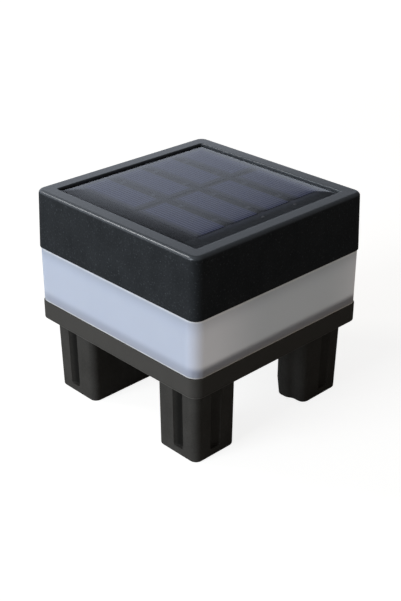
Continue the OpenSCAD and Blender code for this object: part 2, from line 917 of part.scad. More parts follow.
// Metal case of the slide switch with its ears
module switch_case() {
    color([0.7, 0.7, 0.68])
    difference() {
        switch_place()
            union() {
                bar(ear_length, switch_width, ear_bottom, case_bottom);
                bar(switch_length, switch_width, ear_bottom, case_top);
            }
        switch_place()
            bar(switch_length - 2 * switch_wall, switch_width - 2 * switch_wall,
                case_bottom, case_top + over);
        switch_place()
            bar(stem_length + lever_travel + 2 * stem_clearance, stem_width + 2 * stem_clearance,
                ear_bottom - over, case_bottom + over);
        ear_posts()
            rod(small_r + hole_clearance, ear_bottom - over, case_bottom + over);
    }
}

// Insulating block that closes the case and holds the terminals
module switch_block() {
    color([0.35, 0.25, 0.12])
    difference() {
        switch_place()
            union() {
                bar(switch_length, switch_width, case_top, case_top + block_height);
                bar(switch_length - 2 * switch_wall - 2 * foot_clearance,
                    switch_width - 2 * switch_wall - 2 * foot_clearance,
                    case_bottom + foot_thickness + 2 * foot_clearance, case_top + leaf);
            }
        switch_terminals();
    }
}

// Three terminals
module switch_terminals() {
    color([0.8, 0.75, 0.5])
    switch_place()
        for (place = [-1, 0, 1])
            translate([place * terminal_pitch, 0, 0])
                bar(terminal_width, terminal_thickness, case_bottom + foot_thickness + 2 * foot_clearance,
                    case_top + block_height + terminal_height);
}

// Lever of the switch, shown switched off
module switch_lever() {
    color([0.05, 0.05, 0.05])
    translate([-lever_travel / 2, 0, 0])
        switch_place()
            union() {
                bar(foot_length, switch_width - 2 * switch_wall - 2 * foot_clearance,
                    case_bottom + foot_clearance, case_bottom + foot_thickness);
                bar(stem_length, stem_width, leg_height - stem_reach, case_bottom + foot_thickness);
            }
}

// Screws of the board, heads up
module board_screws() {
    color([0.75, 0.75, 0.75])
    board_posts()
        translate([0, 0, board_top])
            mirror([0, 0, 1])
                screw(small_r, small_head_r, small_head, small_length);
}

// Screws of the switch, heads up
module switch_screws() {
    color([0.75, 0.75, 0.75])
    ear_posts()
        translate([0, 0, case_bottom])
            mirror([0, 0, 1])
                screw(small_r, small_head_r, small_head, ear_screw_length);
}

// Round bar along the battery's axis
module along(r, from, to) {
    translate([bay_x, 0, battery_z])
        rotate([-90, 0, 0])
            rod(r, from, to);
}

// Steel can with its button
module battery_can() {
    color([0.75, 0.75, 0.75]) {
        along(battery_r - sleeve_thickness, battery_foot, battery_foot + battery_length);
        along(button_r, battery_foot - button_height, battery_foot);
    }
}

// Plastic sleeve round the can, folded over both ends
module battery_sleeve() {
    color([0.15, 0.35, 0.2])
    difference() {
        along(battery_r, battery_foot - sleeve_thickness, battery_foot + battery_length + sleeve_thickness);
        along(battery_r - sleeve_thickness, battery_foot, battery_foot + battery_length);
        along(battery_r - sleeve_thickness - sleeve_fold, battery_foot - over,
            battery_foot + battery_length + over);
    }
}

// Upright contact with a tab for its wire
module contact(place) {
    bay_place()
        translate([0, place, 0]) {
            translate([-contact_width / 2, 0, contact_low])
                cube([contact_width, contact_thickness, contact_height]);
            translate([-tab_width / 2, 0, contact_low])
                cube([tab_width, contact_thickness, contact_height + tab_height]);
        }
}

// Contact at the battery's button
module contact_plate() {
    color([0.8, 0.75, 0.5])
    contact(-contact_place - contact_thickness);
}

// Contact behind the spring
module spring_plate() {
    color([0.75, 0.75, 0.75])
    contact(contact_place);
}

// Conical spring between its plate and the battery, wound along a helix
module contact_spring() {
    room = contact_place - (battery_foot + battery_length + sleeve_thickness) - 2 * spring_wire_r;
    steps = spring_steps * spring_turns;
    rings = [for (i = [0 : steps]) let (share = i / steps, turn = 360 * i / spring_steps,
                reach = spring_r + (spring_tip_r - spring_r) * share)
        [for (k = [0 : wire_sides - 1]) let (lean = 360 * k / wire_sides,
                out = reach + spring_wire_r * cos(lean))
            [out * cos(turn), out * sin(turn), room * share + spring_wire_r * sin(lean)]]];
    last = steps * wire_sides;
    color([0.75, 0.75, 0.75])
    translate([bay_x, contact_place - spring_wire_r, battery_z])
        rotate([90, 0, 0])
            tube(rings);
}

// Cover of the battery bay
module battery_cover() {
    color([0.07, 0.07, 0.07])
    bay_place()
        difference() {
            bar(bay_width + 2 * bay_ledge - 2 * lid_clearance,
                bay_length + 2 * bay_ledge - 2 * lid_clearance, lid_bottom, lid_top);
            lid_posts() {
                rod(small_r + hole_clearance, 0, lid_top + over);
                rod(small_head_r + hole_clearance, 0, lid_bottom + small_head / 2);
            }
        }
}

// Foam strip that steadies the battery
module battery_pad() {
    color([0.2, 0.2, 0.2])
    bay_place()
        difference() {
            bar(pad_width, pad_length, lid_top, battery_z);
            translate([0, 0, battery_z])
                rotate([90, 0, 0])
                    rod(battery_r + thread_clearance, -pad_length, pad_length);
        }
}

// Screws of the battery cover
module lid_screws() {
    color([0.75, 0.75, 0.75])
    bay_place()
        lid_posts()
            translate([0, 0, lid_bottom + small_head / 2])
                screw(small_r, small_head_r, small_head / 2, lid_screw_length);
}

// Screws that clamp the base, the diffuser and the cover together
module assembly_screws() {
    color([0.75, 0.75, 0.75])
    corners(screw_place)
        translate([0, 0, leg_height])
            screw(screw_r, screw_head_r, screw_head, screw_length);
}

// Two wires from the solar panel down to the board
module panel_wires() {
    color([0.6, 0.1, 0.1])
    for (side = [-1, 1]) {
        x = panel_wire_x + side * panel_wire_pitch / 2;
        wire([[x, board_y, panel_bottom], [x, board_y, recess_bottom - recess_floor - over],
              [x + side * panel_wire_bow, board_y, (recess_bottom + reflector_bottom) / 2],
              [x, board_y, reflector_bottom + reflector_thickness + over], [x, board_y, board_top]]);
    }
}

// Wires from the battery's contacts to the switch and to the board
module battery_wires() {
    tab_y = contact_place + contact_thickness / 2;
    tab_top = contact_low + contact_height + tab_height;
    run = plate_top + wire_lift;
    joint = case_top + block_height + terminal_height / 2;
    side_y = bay_hole_y + switch_width / 2;
    board_x = board_post_inset - board_length / 2;
    color([0.15, 0.15, 0.15]) {
        wire([[bay_x, -tab_y, tab_top], [bay_x, -tab_y, tab_top + 2 * wire_r],
              [bay_x, -bay_hole_y, leg_height - over], [bay_x, -bay_hole_y, run],
              [switch_x - ear_length / 2, -side_y, run], [switch_x - terminal_pitch, -side_y, joint],
              [switch_x - terminal_pitch, -switch_y - terminal_thickness / 2, joint]]);
        wire([[bay_x, tab_y, tab_top], [bay_x, tab_y, tab_top + 2 * wire_r],
              [bay_x, bay_hole_y, leg_height - over], [bay_x, bay_hole_y, run],
              [board_x, board_y, run], [board_x, board_y, board_bottom]]);
    }
}

// Wire from the switch to the board
module switch_wire() {
    joint = case_top + block_height + terminal_height / 2;
    edge_y = board_y - (board_width - board_post_inset) / 2;
    color([0.6, 0.1, 0.1])
    wire([[switch_x, terminal_thickness / 2 - switch_y, joint], [switch_x, edge_y, joint],
          [switch_x, edge_y, board_top]]);
}

base_housing();
lower_gasket();
diffuser();
upper_gasket();
top_cover();
panel_seal();
solar_board();
solar_cells();
cell_ribbons();
solder_spots();
panel_resin();
reflector();
light_board();
lamps();
lamp_leads();
driver_chip();
coil();
coil_leads();
capacitor();
switch_case();
switch_block();
switch_terminals();
switch_lever();
switch_screws();
board_screws();
battery_can();
battery_sleeve();
contact_plate();
spring_plate();
contact_spring();
battery_cover();
battery_pad();
lid_screws();
assembly_screws();
panel_wires();
battery_wires();
switch_wire();
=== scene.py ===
import json
import math

import bmesh
import bpy
from mathutils import Matrix, Vector

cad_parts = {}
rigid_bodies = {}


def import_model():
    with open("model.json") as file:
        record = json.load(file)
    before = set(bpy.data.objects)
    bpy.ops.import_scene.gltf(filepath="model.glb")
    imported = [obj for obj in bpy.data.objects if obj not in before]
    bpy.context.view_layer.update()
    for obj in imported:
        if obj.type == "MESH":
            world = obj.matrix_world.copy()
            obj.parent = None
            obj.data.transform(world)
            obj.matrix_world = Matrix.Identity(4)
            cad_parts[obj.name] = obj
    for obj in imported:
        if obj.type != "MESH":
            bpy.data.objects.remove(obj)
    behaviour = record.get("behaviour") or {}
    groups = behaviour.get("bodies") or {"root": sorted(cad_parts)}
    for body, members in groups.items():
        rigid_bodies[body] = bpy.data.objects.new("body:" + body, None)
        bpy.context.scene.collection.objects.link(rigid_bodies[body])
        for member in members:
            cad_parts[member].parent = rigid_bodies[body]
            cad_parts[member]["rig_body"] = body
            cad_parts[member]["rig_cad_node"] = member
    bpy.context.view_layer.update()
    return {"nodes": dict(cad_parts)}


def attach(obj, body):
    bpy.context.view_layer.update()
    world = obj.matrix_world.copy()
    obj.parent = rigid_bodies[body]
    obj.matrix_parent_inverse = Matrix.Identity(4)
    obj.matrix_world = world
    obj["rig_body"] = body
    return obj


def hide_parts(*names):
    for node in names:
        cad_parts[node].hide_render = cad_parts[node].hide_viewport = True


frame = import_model()
bpy.ops.object.select_all(action="DESELECT")
MM = 0.001

# Main sizes in millimetres. Widths are measured from the middle
RIM = 35.0
RIM_CORNER = 3.2
COVER_TOP = 34.46
BAND = 34.9
RECESS_HALF = 29.7
PANEL_HALF = 29.25
LEG_TOP = 31.8
LEG_END = 31.4
LEG_LEAN = LEG_TOP - LEG_END
LEG_GAP = 14.15
LEG_STEP = 1.1
STEP_PLACE = 26.3
LEG_CUT = 36.3
HOLLOW_CUT = 40.3
WALL = 1.7
GROOVE_PLACE = 23.9
GROOVE_RADIUS = 2.3

# Heights above the floor on which the legs stand
POST_FOOT = 27.8
RIM_LOW = 24.5
UNDERSIDE = 25.0
PLATE = 27.5
RIM_TOP = 30.6
BOARD_TOP = 34.2
BAND_TOP = 48.5
RECESS = 64.1
PANEL_FACE = 65.4
RESIN_EDGE = 66.2
TOP = 67.0

# Strips of the panel: where the front row starts, where the rows end at the right, and their pitch
STRIPS_START = -22.15
STRIPS_END = 22.2
STRIP_PITCH = 13.2

# The battery bay: middle, half its room, the battery's axis and its contacts
BAY_X = -22.775
BAY_ROOM = 6.925
BAY_HALF = 29.7
BATTERY_Z = 7.9
CONTACT = 23.75
BATTERY_END = 20.8

# Places (x, y) of what repeats
SIDES = [(-1, -1), (1, -1), (-1, 1), (1, 1)]
BOARD_Y = 8.0
SWITCH = (4.0, -16.95)
PANEL_HOLE = (4.0, BOARD_Y)
CLAMP_PLACES = [(sx * 27.25, sy * 27.25) for sx, sy in SIDES]
BOARD_PLACES = [(sx * 17, BOARD_Y + sy * 10) for sx, sy in SIDES]
LAMP_PLACES = [(sx * 11, BOARD_Y + sy * 7) for sx, sy in SIDES]
EAR_PLACES = [(SWITCH[0] + side * 7.5, SWITCH[1]) for side in (-1, 1)]
LID_PLACES = [(BAY_X + 4.6, side * 27.4) for side in (-1, 1)]
BAY_HOLES = [(BAY_X, side * 19.95) for side in (-1, 1)]
PILLARS = [(28.6, 0), (-28.6, 0), (0, 28.6), (0, -28.6)]


# Shaping tools: each works on millimetres
def metres(*values):
    return Vector(values) * MM


def select_only(piece):
    bpy.ops.object.select_all(action="DESELECT")
    piece.select_set(True)
    bpy.context.view_layer.objects.active = piece


def edit(piece):
    select_only(piece)
    bpy.ops.object.mode_set(mode="EDIT")


def leave():
    bpy.ops.object.mode_set(mode="OBJECT")


def everything():
    bpy.ops.mesh.select_all(action="SELECT")


def pick(kind, test):
    """Selects the vertices, edges or faces that pass a test.

    It is given a vertex's place, an edge's two ends, or a face's middle and normal."""
    bpy.ops.mesh.select_mode(type={"verts": "VERT", "edges": "EDGE", "faces": "FACE"}[kind])
    bpy.ops.mesh.select_all(action="DESELECT")
    piece = bpy.context.edit_object
    shape = bmesh.from_edit_mesh(piece.data)
    for part in getattr(shape, kind):
        if kind == "verts":
            facts = (part.co / MM,)
        elif kind == "edges":
            facts = (part.verts[0].co / MM, part.verts[1].co / MM)
        else:
            facts = (part.calc_center_median() / MM, part.normal)
        part.select_set(bool(test(*facts)))
    shape.select_flush_mode()
    bmesh.update_edit_mesh(piece.data)


def upright(a, b):
    return abs(a.x - b.x) < 0.01 and abs(a.y - b.y) < 0.01


def level(height):
    """Test for an edge that lies at a height."""
    return lambda a, b: abs(a.z - height) < 0.02 and abs(b.z - height) < 0.02


def facing(height, up):
    """Test for a flat face at a height that faces up or down."""
    return lambda middle, normal: abs(middle.z - height) < 0.02 and normal.z * up > 0.9


def extrude(x, y, z):
    bpy.ops.mesh.extrude_region_move(TRANSFORM_OT_translate={"value": metres(x, y, z)})


def inset(width):
    bpy.ops.mesh.inset(thickness=width * MM)


def round_edges(test, width, segments):
    pick("edges", test)
    bpy.ops.mesh.bevel(offset=width * MM, segments=segments, affect="EDGES")


def sink(height, up, width, depth):
    """Insets a flat face and pulls the inset part up or down."""
    pick("faces", facing(height, up))
    inset(width)
    extrude(0, 0, depth)


def resize(x, y, z):
    """Scales the selection from the frame's origin."""
    bpy.ops.transform.resize(value=(x, y, z), center_override=(0, 0, 0))


def shift(x, y, z):
    bpy.ops.transform.translate(value=metres(x, y, z))


def merge_doubles(distance=0.002):
    everything()
    bpy.ops.mesh.remove_doubles(threshold=distance * MM)


def face_outwards():
    """Selects a whole shape and turns its faces outwards."""
    everything()
    bpy.ops.mesh.normals_make_consistent(inside=False)


def modified(piece, kind, **settings):
    """Adds a modifier and applies it."""
    step = piece.modifiers.new("step", kind)
    for key, value in settings.items():
        setattr(step, key, value)
    select_only(piece)
    bpy.ops.object.modifier_apply(modifier=step.name)
    return piece


def linked(name, data):
    """New object in the scene for a mesh, a curve, a lamp or a camera."""
    piece = bpy.data.objects.new(name, data)
    bpy.context.scene.collection.objects.link(piece)
    return piece


def discard(*pieces):
    for piece in pieces:
        bpy.data.meshes.remove(piece.data)


def settle(piece, name):
    """Names a piece and moves its place into its mesh."""
    piece.name = name
    piece.data.name = name
    select_only(piece)
    bpy.ops.object.transform_apply(location=True, rotation=True, scale=True)
    return piece


def placed(piece, name, at, tilt):
    """Tilts a piece that was made at the origin, moves it to its place, and settles it."""
    piece.rotation_euler = [math.radians(angle) for angle in tilt]
    piece.location = metres(*at)
    return settle(piece, name)


def block(name, low, high):
    size = Vector(high) - Vector(low)
    middle = (Vector(high) + Vector(low)) / 2
    bpy.ops.mesh.primitive_cube_add(size=1, location=middle * MM, scale=size * MM)
    return settle(bpy.context.object, name)


def rod(name, radius, low, high, at=(0, 0), sides=48):
    bpy.ops.mesh.primitive_cylinder_add(
        vertices=sides, radius=radius * MM, depth=(high - low) * MM,
        location=metres(at[0], at[1], (low + high) / 2))
    return settle(bpy.context.object, name)


def chain(name, points):
    """Draws a line by pulling one vertex along, and stays in edit mode with all of it selected."""
    bpy.ops.mesh.primitive_plane_add(size=MM, location=(0, 0, 0))
    piece = settle(bpy.context.object, name)
    edit(piece)
    bpy.ops.mesh.select_mode(type="VERT")
    everything()
    bpy.ops.mesh.merge(type="CENTER")
    shift(*points[0])
    for here, there in zip(points, points[1:]):
        extrude(*(Vector(there) - Vector(here)))
    everything()
    return piece


def outline(name, corners, low, high, segments=6):
    """Prism over corners of (x, y, length of the corner's rounding along its sides)."""
    piece = chain(name, [(x, y, low) for x, y, _ in corners])
    ends = [Vector((corners[i][0], corners[i][1], low)) for i in (0, -1)]
    pick("verts", lambda spot: min((spot - end).length for end in ends) < 0.01)
    bpy.ops.mesh.edge_face_add()
    everything()
    bpy.ops.mesh.edge_face_add()
    for width in sorted({reach for _, _, reach in corners if reach}):
        spots = [Vector((x, y, low)) for x, y, reach in corners if reach == width]
        pick("verts", lambda spot: min((spot - end).length for end in spots) < 0.01)
        bpy.ops.mesh.bevel(offset=width * MM, segments=segments, affect="VERTICES")
    bpy.ops.mesh.select_mode(type="FACE")
    everything()
    extrude(0, 0, high - low)
    face_outwards()
    leave()
    return piece


def turned(name, profile, at=(0, 0, 0), tilt=(0, 0, 0), steps=48):
    """Spins a profile of (radius, height) points round the upright axis, then tilts and places it."""
    piece = chain(name, [(radius, 0, height) for radius, height in profile])
    bpy.ops.mesh.spin(steps=steps, angle=2 * math.pi, center=(0, 0, 0), axis=(0, 0, 1))
    merge_doubles()
    face_outwards()
    leave()
    return placed(piece, name, at, tilt)


def tube(name, points, radius):
    """Round wire through points, as a mesh with closed ends."""
    curve = bpy.data.curves.new(name, "CURVE")
    curve.dimensions = "3D"
    curve.bevel_depth = radius * MM
    curve.bevel_resolution = 4
    curve.use_fill_caps = True
    line = curve.splines.new("POLY").points
    line.add(len(points) - 1)
    for spot, place in zip(line, points):
        spot.co = (*metres(*place), 1)
    select_only(linked(name, curve))
    bpy.ops.object.convert(target="MESH")
    piece = bpy.context.object
    edit(piece)
    merge_doubles()
    face_outwards()
    leave()
    return piece


def eased(points, bend, steps=5):
    """Points of a line whose corners are rounded."""
    points = [Vector(point) for point in points]
    line = [points[0]]
    for before, corner, after in zip(points, points[1:], points[2:]):
        reach = [min(bend, (other - corner).length / 2) for other in (before, after)]
        first, last = [corner + (other - corner).normalized() * part
                       for other, part in zip((before, after), reach)]
        for i in range(steps + 1):
            share = i / steps
            line.append(first.lerp(corner, share).lerp(corner.lerp(last, share), share))
    return line + [points[-1]]


def helix(name, start, end, low, high, turns, radius, at, tilt, steps=16):
    """Wire wound round an upright axis, from one winding radius to another, then tilted and placed."""
    points = []
    for i in range(round(turns * steps) + 1):
        share, angle = i / (turns * steps), 2 * math.pi * i / steps
        reach = start + (end - start) * share
        points.append((reach * math.cos(angle), reach * math.sin(angle), low + (high - low) * share))
    return placed(tube(name, points, radius), name, at, tilt)


def strip(name, points, across, thickness):
    """Bent metal strip: a line pulled sideways and given a thickness."""
    piece = chain(name, points)
    extrude(*across)
    leave()
    modified(piece, "SOLIDIFY", thickness=thickness * MM, offset=0)
    edit(piece)
    face_outwards()
    leave()
    return piece


def painted(piece, finish):
    piece.data.materials.clear()
    piece.data.materials.append(finish)
    return piece


def wire(name, points, radius, finish, bare):
    """Insulated wire with bare tinned ends."""
    line = eased(points, 2.5)
    core = painted(tube(name, line, radius * 0.5), TIN)
    for end, near in ((0, 1), (-1, -2)):
        line[end] = line[end] + (line[near] - line[end]).normalized() * bare
    return joined(name, [painted(tube("sleeve", line, radius), finish), core])


def copied(piece, name, at=(0, 0, 0), turn=0, flip=None):
    """Copy of a piece with its own mesh, turned about the upright axis or mirrored, then moved."""
    mesh = piece.data.copy()
    if flip:
        mesh.transform(Matrix.Scale(-1, 4, Vector(flip)))
        mesh.flip_normals()
    mesh.transform(Matrix.Translation(metres(*at)) @ Matrix.Rotation(math.radians(turn), 4, "Z"))
    return linked(name, mesh)


def joined(name, parts):
    """Several shapes as one piece."""
    bpy.ops.object.select_all(action="DESELECT")
    for part in parts:
        part.select_set(True)
    bpy.context.view_layer.objects.active = parts[0]
    if len(parts) > 1:
        bpy.ops.object.join()
    return settle(parts[0], name)


def combine(piece, tool, operation):
    """Unites a shape with another, or cuts the other away, with an applied Boolean."""
    modified(piece, "BOOLEAN", operation=operation, object=tool, solver="EXACT")
    discard(tool)
    return piece


def unite(piece, *tools):
    return combine(piece, joined("tool", list(tools)), "UNION")


def cut(piece, *tools):
    return combine(piece, joined("tool", list(tools)), "DIFFERENCE")


def soften(piece, width, segments=2):
    """Rounds every sharp edge of a piece."""
    edit(piece)
    bpy.ops.mesh.select_mode(type="EDGE")
    bpy.ops.mesh.select_all(action="DESELECT")
    bpy.ops.mesh.edges_select_sharp(sharpness=math.radians(40))
    bpy.ops.mesh.bevel(offset=width * MM, segments=segments, affect="EDGES", clamp_overlap=True)
    leave()
    return piece


def from_node(node, name, width=0, segments=2):
    """Copy of a CAD node with its triangles merged to whole faces and its edges rounded."""
    piece = frame["nodes"][node].copy()
    piece.data = piece.data.copy()
    piece.parent = None
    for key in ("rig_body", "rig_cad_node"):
        del piece[key]
    bpy.context.scene.collection.objects.link(piece)
    piece.data.materials.clear()
    settle(piece, name)
    edit(piece)
    merge_doubles(0.001)
    everything()
    bpy.ops.mesh.dissolve_limited(angle_limit=math.radians(0.5))
    leave()
    return soften(piece, width, segments) if width else piece


def dressed(piece, finish, body, slot, *nodes, angle=35):
    """Last step of every piece: its shading, finish and body, and it hides the nodes that it stands for.
    Its slot is not used.
    """
    select_only(piece)
    bpy.ops.object.shade_smooth_by_angle(angle=math.radians(angle))
    modified(piece, "WEIGHTED_NORMAL", keep_sharp=True)
    if finish:
        painted(piece, finish)
    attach(piece, body)
    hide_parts(*nodes)
    return piece


# Finishes: shader maths is written as plain expressions on sockets
def operator(operation, swapped=False):
    """Method that joins a value and another number by a maths node, the other one first if swapped."""
    def method(self, other):
        pair = (other, self) if swapped else (self, other)
        return self.recipe.add("ShaderNodeMath", {"operation": operation}, dict(enumerate(pair)))
    return method


class Value:
    """A number that comes out of a node."""

    def __init__(self, recipe, socket):
        self.recipe, self.socket = recipe, socket

    def __abs__(self):
        return self.recipe.add("ShaderNodeMath", {"operation": "ABSOLUTE"}, {0: self})

    __add__, __radd__ = operator("ADD"), operator("ADD", swapped=True)
    __sub__, __rsub__ = operator("SUBTRACT"), operator("SUBTRACT", swapped=True)
    __mul__, __rmul__ = operator("MULTIPLY"), operator("MULTIPLY", swapped=True)
    __mod__, __pow__ = operator("FLOORED_MODULO"), operator("POWER")
    __lt__, __gt__ = operator("LESS_THAN"), operator("GREATER_THAN")
    most, least = operator("MAXIMUM"), operator("MINIMUM")


class Recipe:
    """A node tree under construction: a finish of a piece, or the surroundings."""

    def __init__(self, name, world=False):
        self.owner = (bpy.data.worlds if world else bpy.data.materials).new(name)
        self.owner.use_nodes = True
        self.nodes = self.owner.node_tree.nodes
        self.links = self.owner.node_tree.links
        self.nodes.clear()
        self.end = self.nodes.new("ShaderNodeOutputWorld" if world else "ShaderNodeOutputMaterial")

    def feed(self, value, socket):
        if isinstance(value, Value):
            self.links.new(value.socket, socket)
        else:
            socket.default_value = value

    def add(self, kind, settings=None, sockets=None, result=0):
        """Adds a node: its settings first, then the values or links of its sockets."""
        node = self.nodes.new(kind)
        for key, value in (settings or {}).items():
            setattr(node, key, value)
        for key, value in (sockets or {}).items():
            self.feed(value, node.inputs[key])
        return Value(self, node.outputs[result])

    def place(self):
        """Object coordinates in millimetres."""
        spot = self.add("ShaderNodeTexCoord", result="Object")
        return self.add("ShaderNodeVectorMath", {"operation": "SCALE"}, {0: spot, "Scale": 1000})

    def parts(self, spot):
        """The three numbers of a vector."""
        apart = self.add("ShaderNodeSeparateXYZ", sockets={0: spot})
        return [Value(self, number) for number in apart.socket.node.outputs]

    def noise(self, spot, scale, detail=2.0, rough=0.5):
        """Noise about 0.5, with scale patches to the millimetre."""
        return self.add("ShaderNodeTexNoise", {"normalize": True}, {
            "Vector": spot, "Scale": scale, "Detail": detail, "Roughness": rough})

    def stretched(self, spot, x, y, z):
        return self.add("ShaderNodeVectorMath", {"operation": "MULTIPLY"}, {0: spot, 1: (x, y, z)})

    def blend(self, factor, first, second):
        """Mix of two colours."""
        first, second = [c if isinstance(c, Value) else (*c, 1) for c in (first, second)]
        return self.add("ShaderNodeMix", {"data_type": "RGBA"}, {
            "Factor": factor, 6: first, 7: second}, result=2)

    def smooth_step(self, value, low, high):
        """Number that goes from 0 at low to 1 at high."""
        return self.add("ShaderNodeMapRange", {"interpolation_type": "SMOOTHSTEP"}, {
            "Value": value, "From Min": low, "From Max": high})

    def bump(self, height, depth):
        """Normal from a height of 0 to 1 that stands for a depth in millimetres."""
        return self.add("ShaderNodeBump", sockets={
            "Strength": 1.0, "Distance": depth * MM, "Height": height})

    def surface(self, **inputs):
        return self.add("ShaderNodeBsdfPrincipled", sockets={
            key.replace("_", " "): (*value, 1) if key in ("Base_Color", "Emission_Color")
            and not isinstance(value, Value) else value for key, value in inputs.items()})

    def done(self, shader):
        self.feed(shader, self.end.inputs["Surface"])
        return self.owner


def moulded(name, colour, rough, grain, depth, gloss=0.5, worn=0.25):
    """Moulded plastic with a fine eroded grain, a faint cloudiness and flow streaks."""
    recipe = Recipe(name)
    return recipe.done(recipe.surface(**grained(recipe, colour, rough, grain, depth, gloss, worn)[0]))


def grained(recipe, colour, rough, grain, depth, gloss, worn=0.25):
    """Inputs of a moulded plastic, and its place and fine grain."""
    spot = recipe.place()
    fine = recipe.noise(spot, grain, 4.0, 0.65)
    cloud = recipe.noise(spot, 0.12, 3.0)
    streak = recipe.noise(recipe.stretched(spot, 1, 1, 0.15), 0.35, 2.0)
    lighter = [min(1, part * (1 + worn) + 0.002) for part in colour]
    darker = [part * (1 - worn) for part in colour]
    shade = recipe.blend((cloud * 0.4 + streak * 0.2 + fine * 0.4 - 0.3) * 2.5, darker, lighter)
    finish = {"Base_Color": shade, "Roughness": rough - 0.1 + 0.12 * cloud + 0.08 * fine,
              "Specular_IOR_Level": gloss, "Normal": recipe.bump(fine, depth)}
    return finish, spot, fine


def painted_sheen_below(recipe, shade, colour, z, height, paler):
    """A painted sheen: a shade that grows paler over the last 0.7 mm below a height, and the mask of that.
    """
    high = recipe.smooth_step(z, height - 0.7, height)
    return recipe.blend(high * 0.7, shade, [part * paler for part in colour]), high


def cover_finish(name, colour):
    """The cover's plastic: shiny at its top frame, with a painted sheen that makes the frame paler, and
    fine painted glints in its grain.
    """
    recipe = Recipe(name)
    finish, spot, fine = grained(recipe, colour, 0.46, 1.7, 0.06, 0.03)
    z = recipe.parts(spot)[2]
    # Painted sheen: the top frame paler, where it is also coated
    shade, high = painted_sheen_below(recipe, finish["Base_Color"], colour, z, TOP - 0.4, 3.3)
    # Painted glints: paler specks in the grain
    painted_glint = recipe.smooth_step(fine, 0.58, 0.68)
    finish["Base_Color"] = recipe.blend(painted_glint * 0.26, shade, [part * 5 for part in colour])
    return recipe.done(recipe.surface(Coat_Weight=high, Coat_Roughness=0.22, **finish))


def base_finish(name, colour):
    """The base's plastic: painted shade in the grooves of the legs, and a painted highlight line round the
    rim's foot.
    """
    recipe = Recipe(name)
    finish, spot = grained(recipe, colour, 0.55, 1.8, 0.03, 0.015)[:2]
    x, y, z = recipe.parts(spot)
    far, near = abs(x).most(abs(y)), abs(x).least(abs(y))
    depth_in = LEG_END + LEG_LEAN / (UNDERSIDE + 1) * z - far
    # Painted shade: the grooves darker with their depth
    painted_groove_shade = (recipe.smooth_step(depth_in, 0.0, 1.4) * (depth_in < WALL)
            * (abs(near - GROOVE_PLACE) < GROOVE_RADIUS + 0.1) * (z < RIM_LOW))
    # Less painted shade in the grooves that face the right
    painted_groove_shade = painted_groove_shade * (0.88 - 0.7 * (x > LEG_END - 1.8))
    shade = recipe.blend(painted_groove_shade, finish["Base_Color"], [part * 0.1 for part in colour])
    # Painted highlight: a pale line round the rim's foot
    painted_edge_highlight = 1 - recipe.smooth_step(abs(z - RIM_LOW - 0.12), 0.14, 0.26)
    shade = recipe.blend(painted_edge_highlight * 0.8, shade, [part * 2.4 for part in colour])
    # Painted sheen: paler low on the rim, just above its foot
    finish["Base_Color"] = painted_sheen_below(recipe, shade, colour, z, UNDERSIDE + 0.4, 1.4)[0]
    return recipe.done(recipe.surface(**finish))


def metal(name, colour, rough, brushed=(1, 1, 1), dull=0.35):
    """Plated or bare metal with fine rolling marks and dull patches."""
    recipe = Recipe(name)
    spot = recipe.place()
    marks = recipe.noise(recipe.stretched(spot, *brushed), 9.0, 4.0, 0.65)
    patch = recipe.noise(spot, 0.6, 3.0)
    dimmer = [part * (1 - dull) for part in colour]
    return recipe.done(recipe.surface(
        Base_Color=recipe.blend(recipe.smooth_step(patch, 0.35, 0.75), colour, dimmer),
        Metallic=1.0, Roughness=rough + 0.2 * (marks - 0.5) + 0.15 * (patch - 0.4),
        Normal=recipe.bump(marks, 0.008)))


def soft(name, colour, rough, pore, depth):
    """Rubber or foam with open pores."""
    recipe = Recipe(name)
    spot = recipe.place()
    pores = recipe.add("ShaderNodeTexVoronoi", {"feature": "F1"}, {"Vector": spot, "Scale": pore})
    cloud = recipe.noise(spot, 0.5, 3.0)
    deep = [part * 0.45 for part in colour]
    return recipe.done(recipe.surface(
        Base_Color=recipe.blend(recipe.smooth_step(pores, 0.0, 0.5) * (0.7 + 0.3 * cloud), deep, colour),
        Roughness=rough, Specular_IOR_Level=0.3, Normal=recipe.bump(pores, depth)))


def clear(name, tint, haze, rough):
    """Clear resin: light passes straight through, and its outer face mirrors more at a slant."""
    recipe = Recipe(name)
    spot = recipe.place()
    wiped = recipe.noise(recipe.stretched(spot, 1, 0.3, 1), 0.25, 3.0)
    mirror = recipe.surface(Base_Color=tint, Metallic=1.0, Roughness=rough + 0.06 * wiped)
    through = recipe.add("ShaderNodeBsdfTransparent")
    slant = recipe.add("ShaderNodeFresnel", sockets={"IOR": 1.5})
    inside = recipe.add("ShaderNodeNewGeometry", result="Backfacing")
    share = (slant + haze).least(1.0) * (1 - inside)
    return recipe.done(recipe.add("ShaderNodeMixShader", sockets={0: share, 1: through, 2: mirror}))


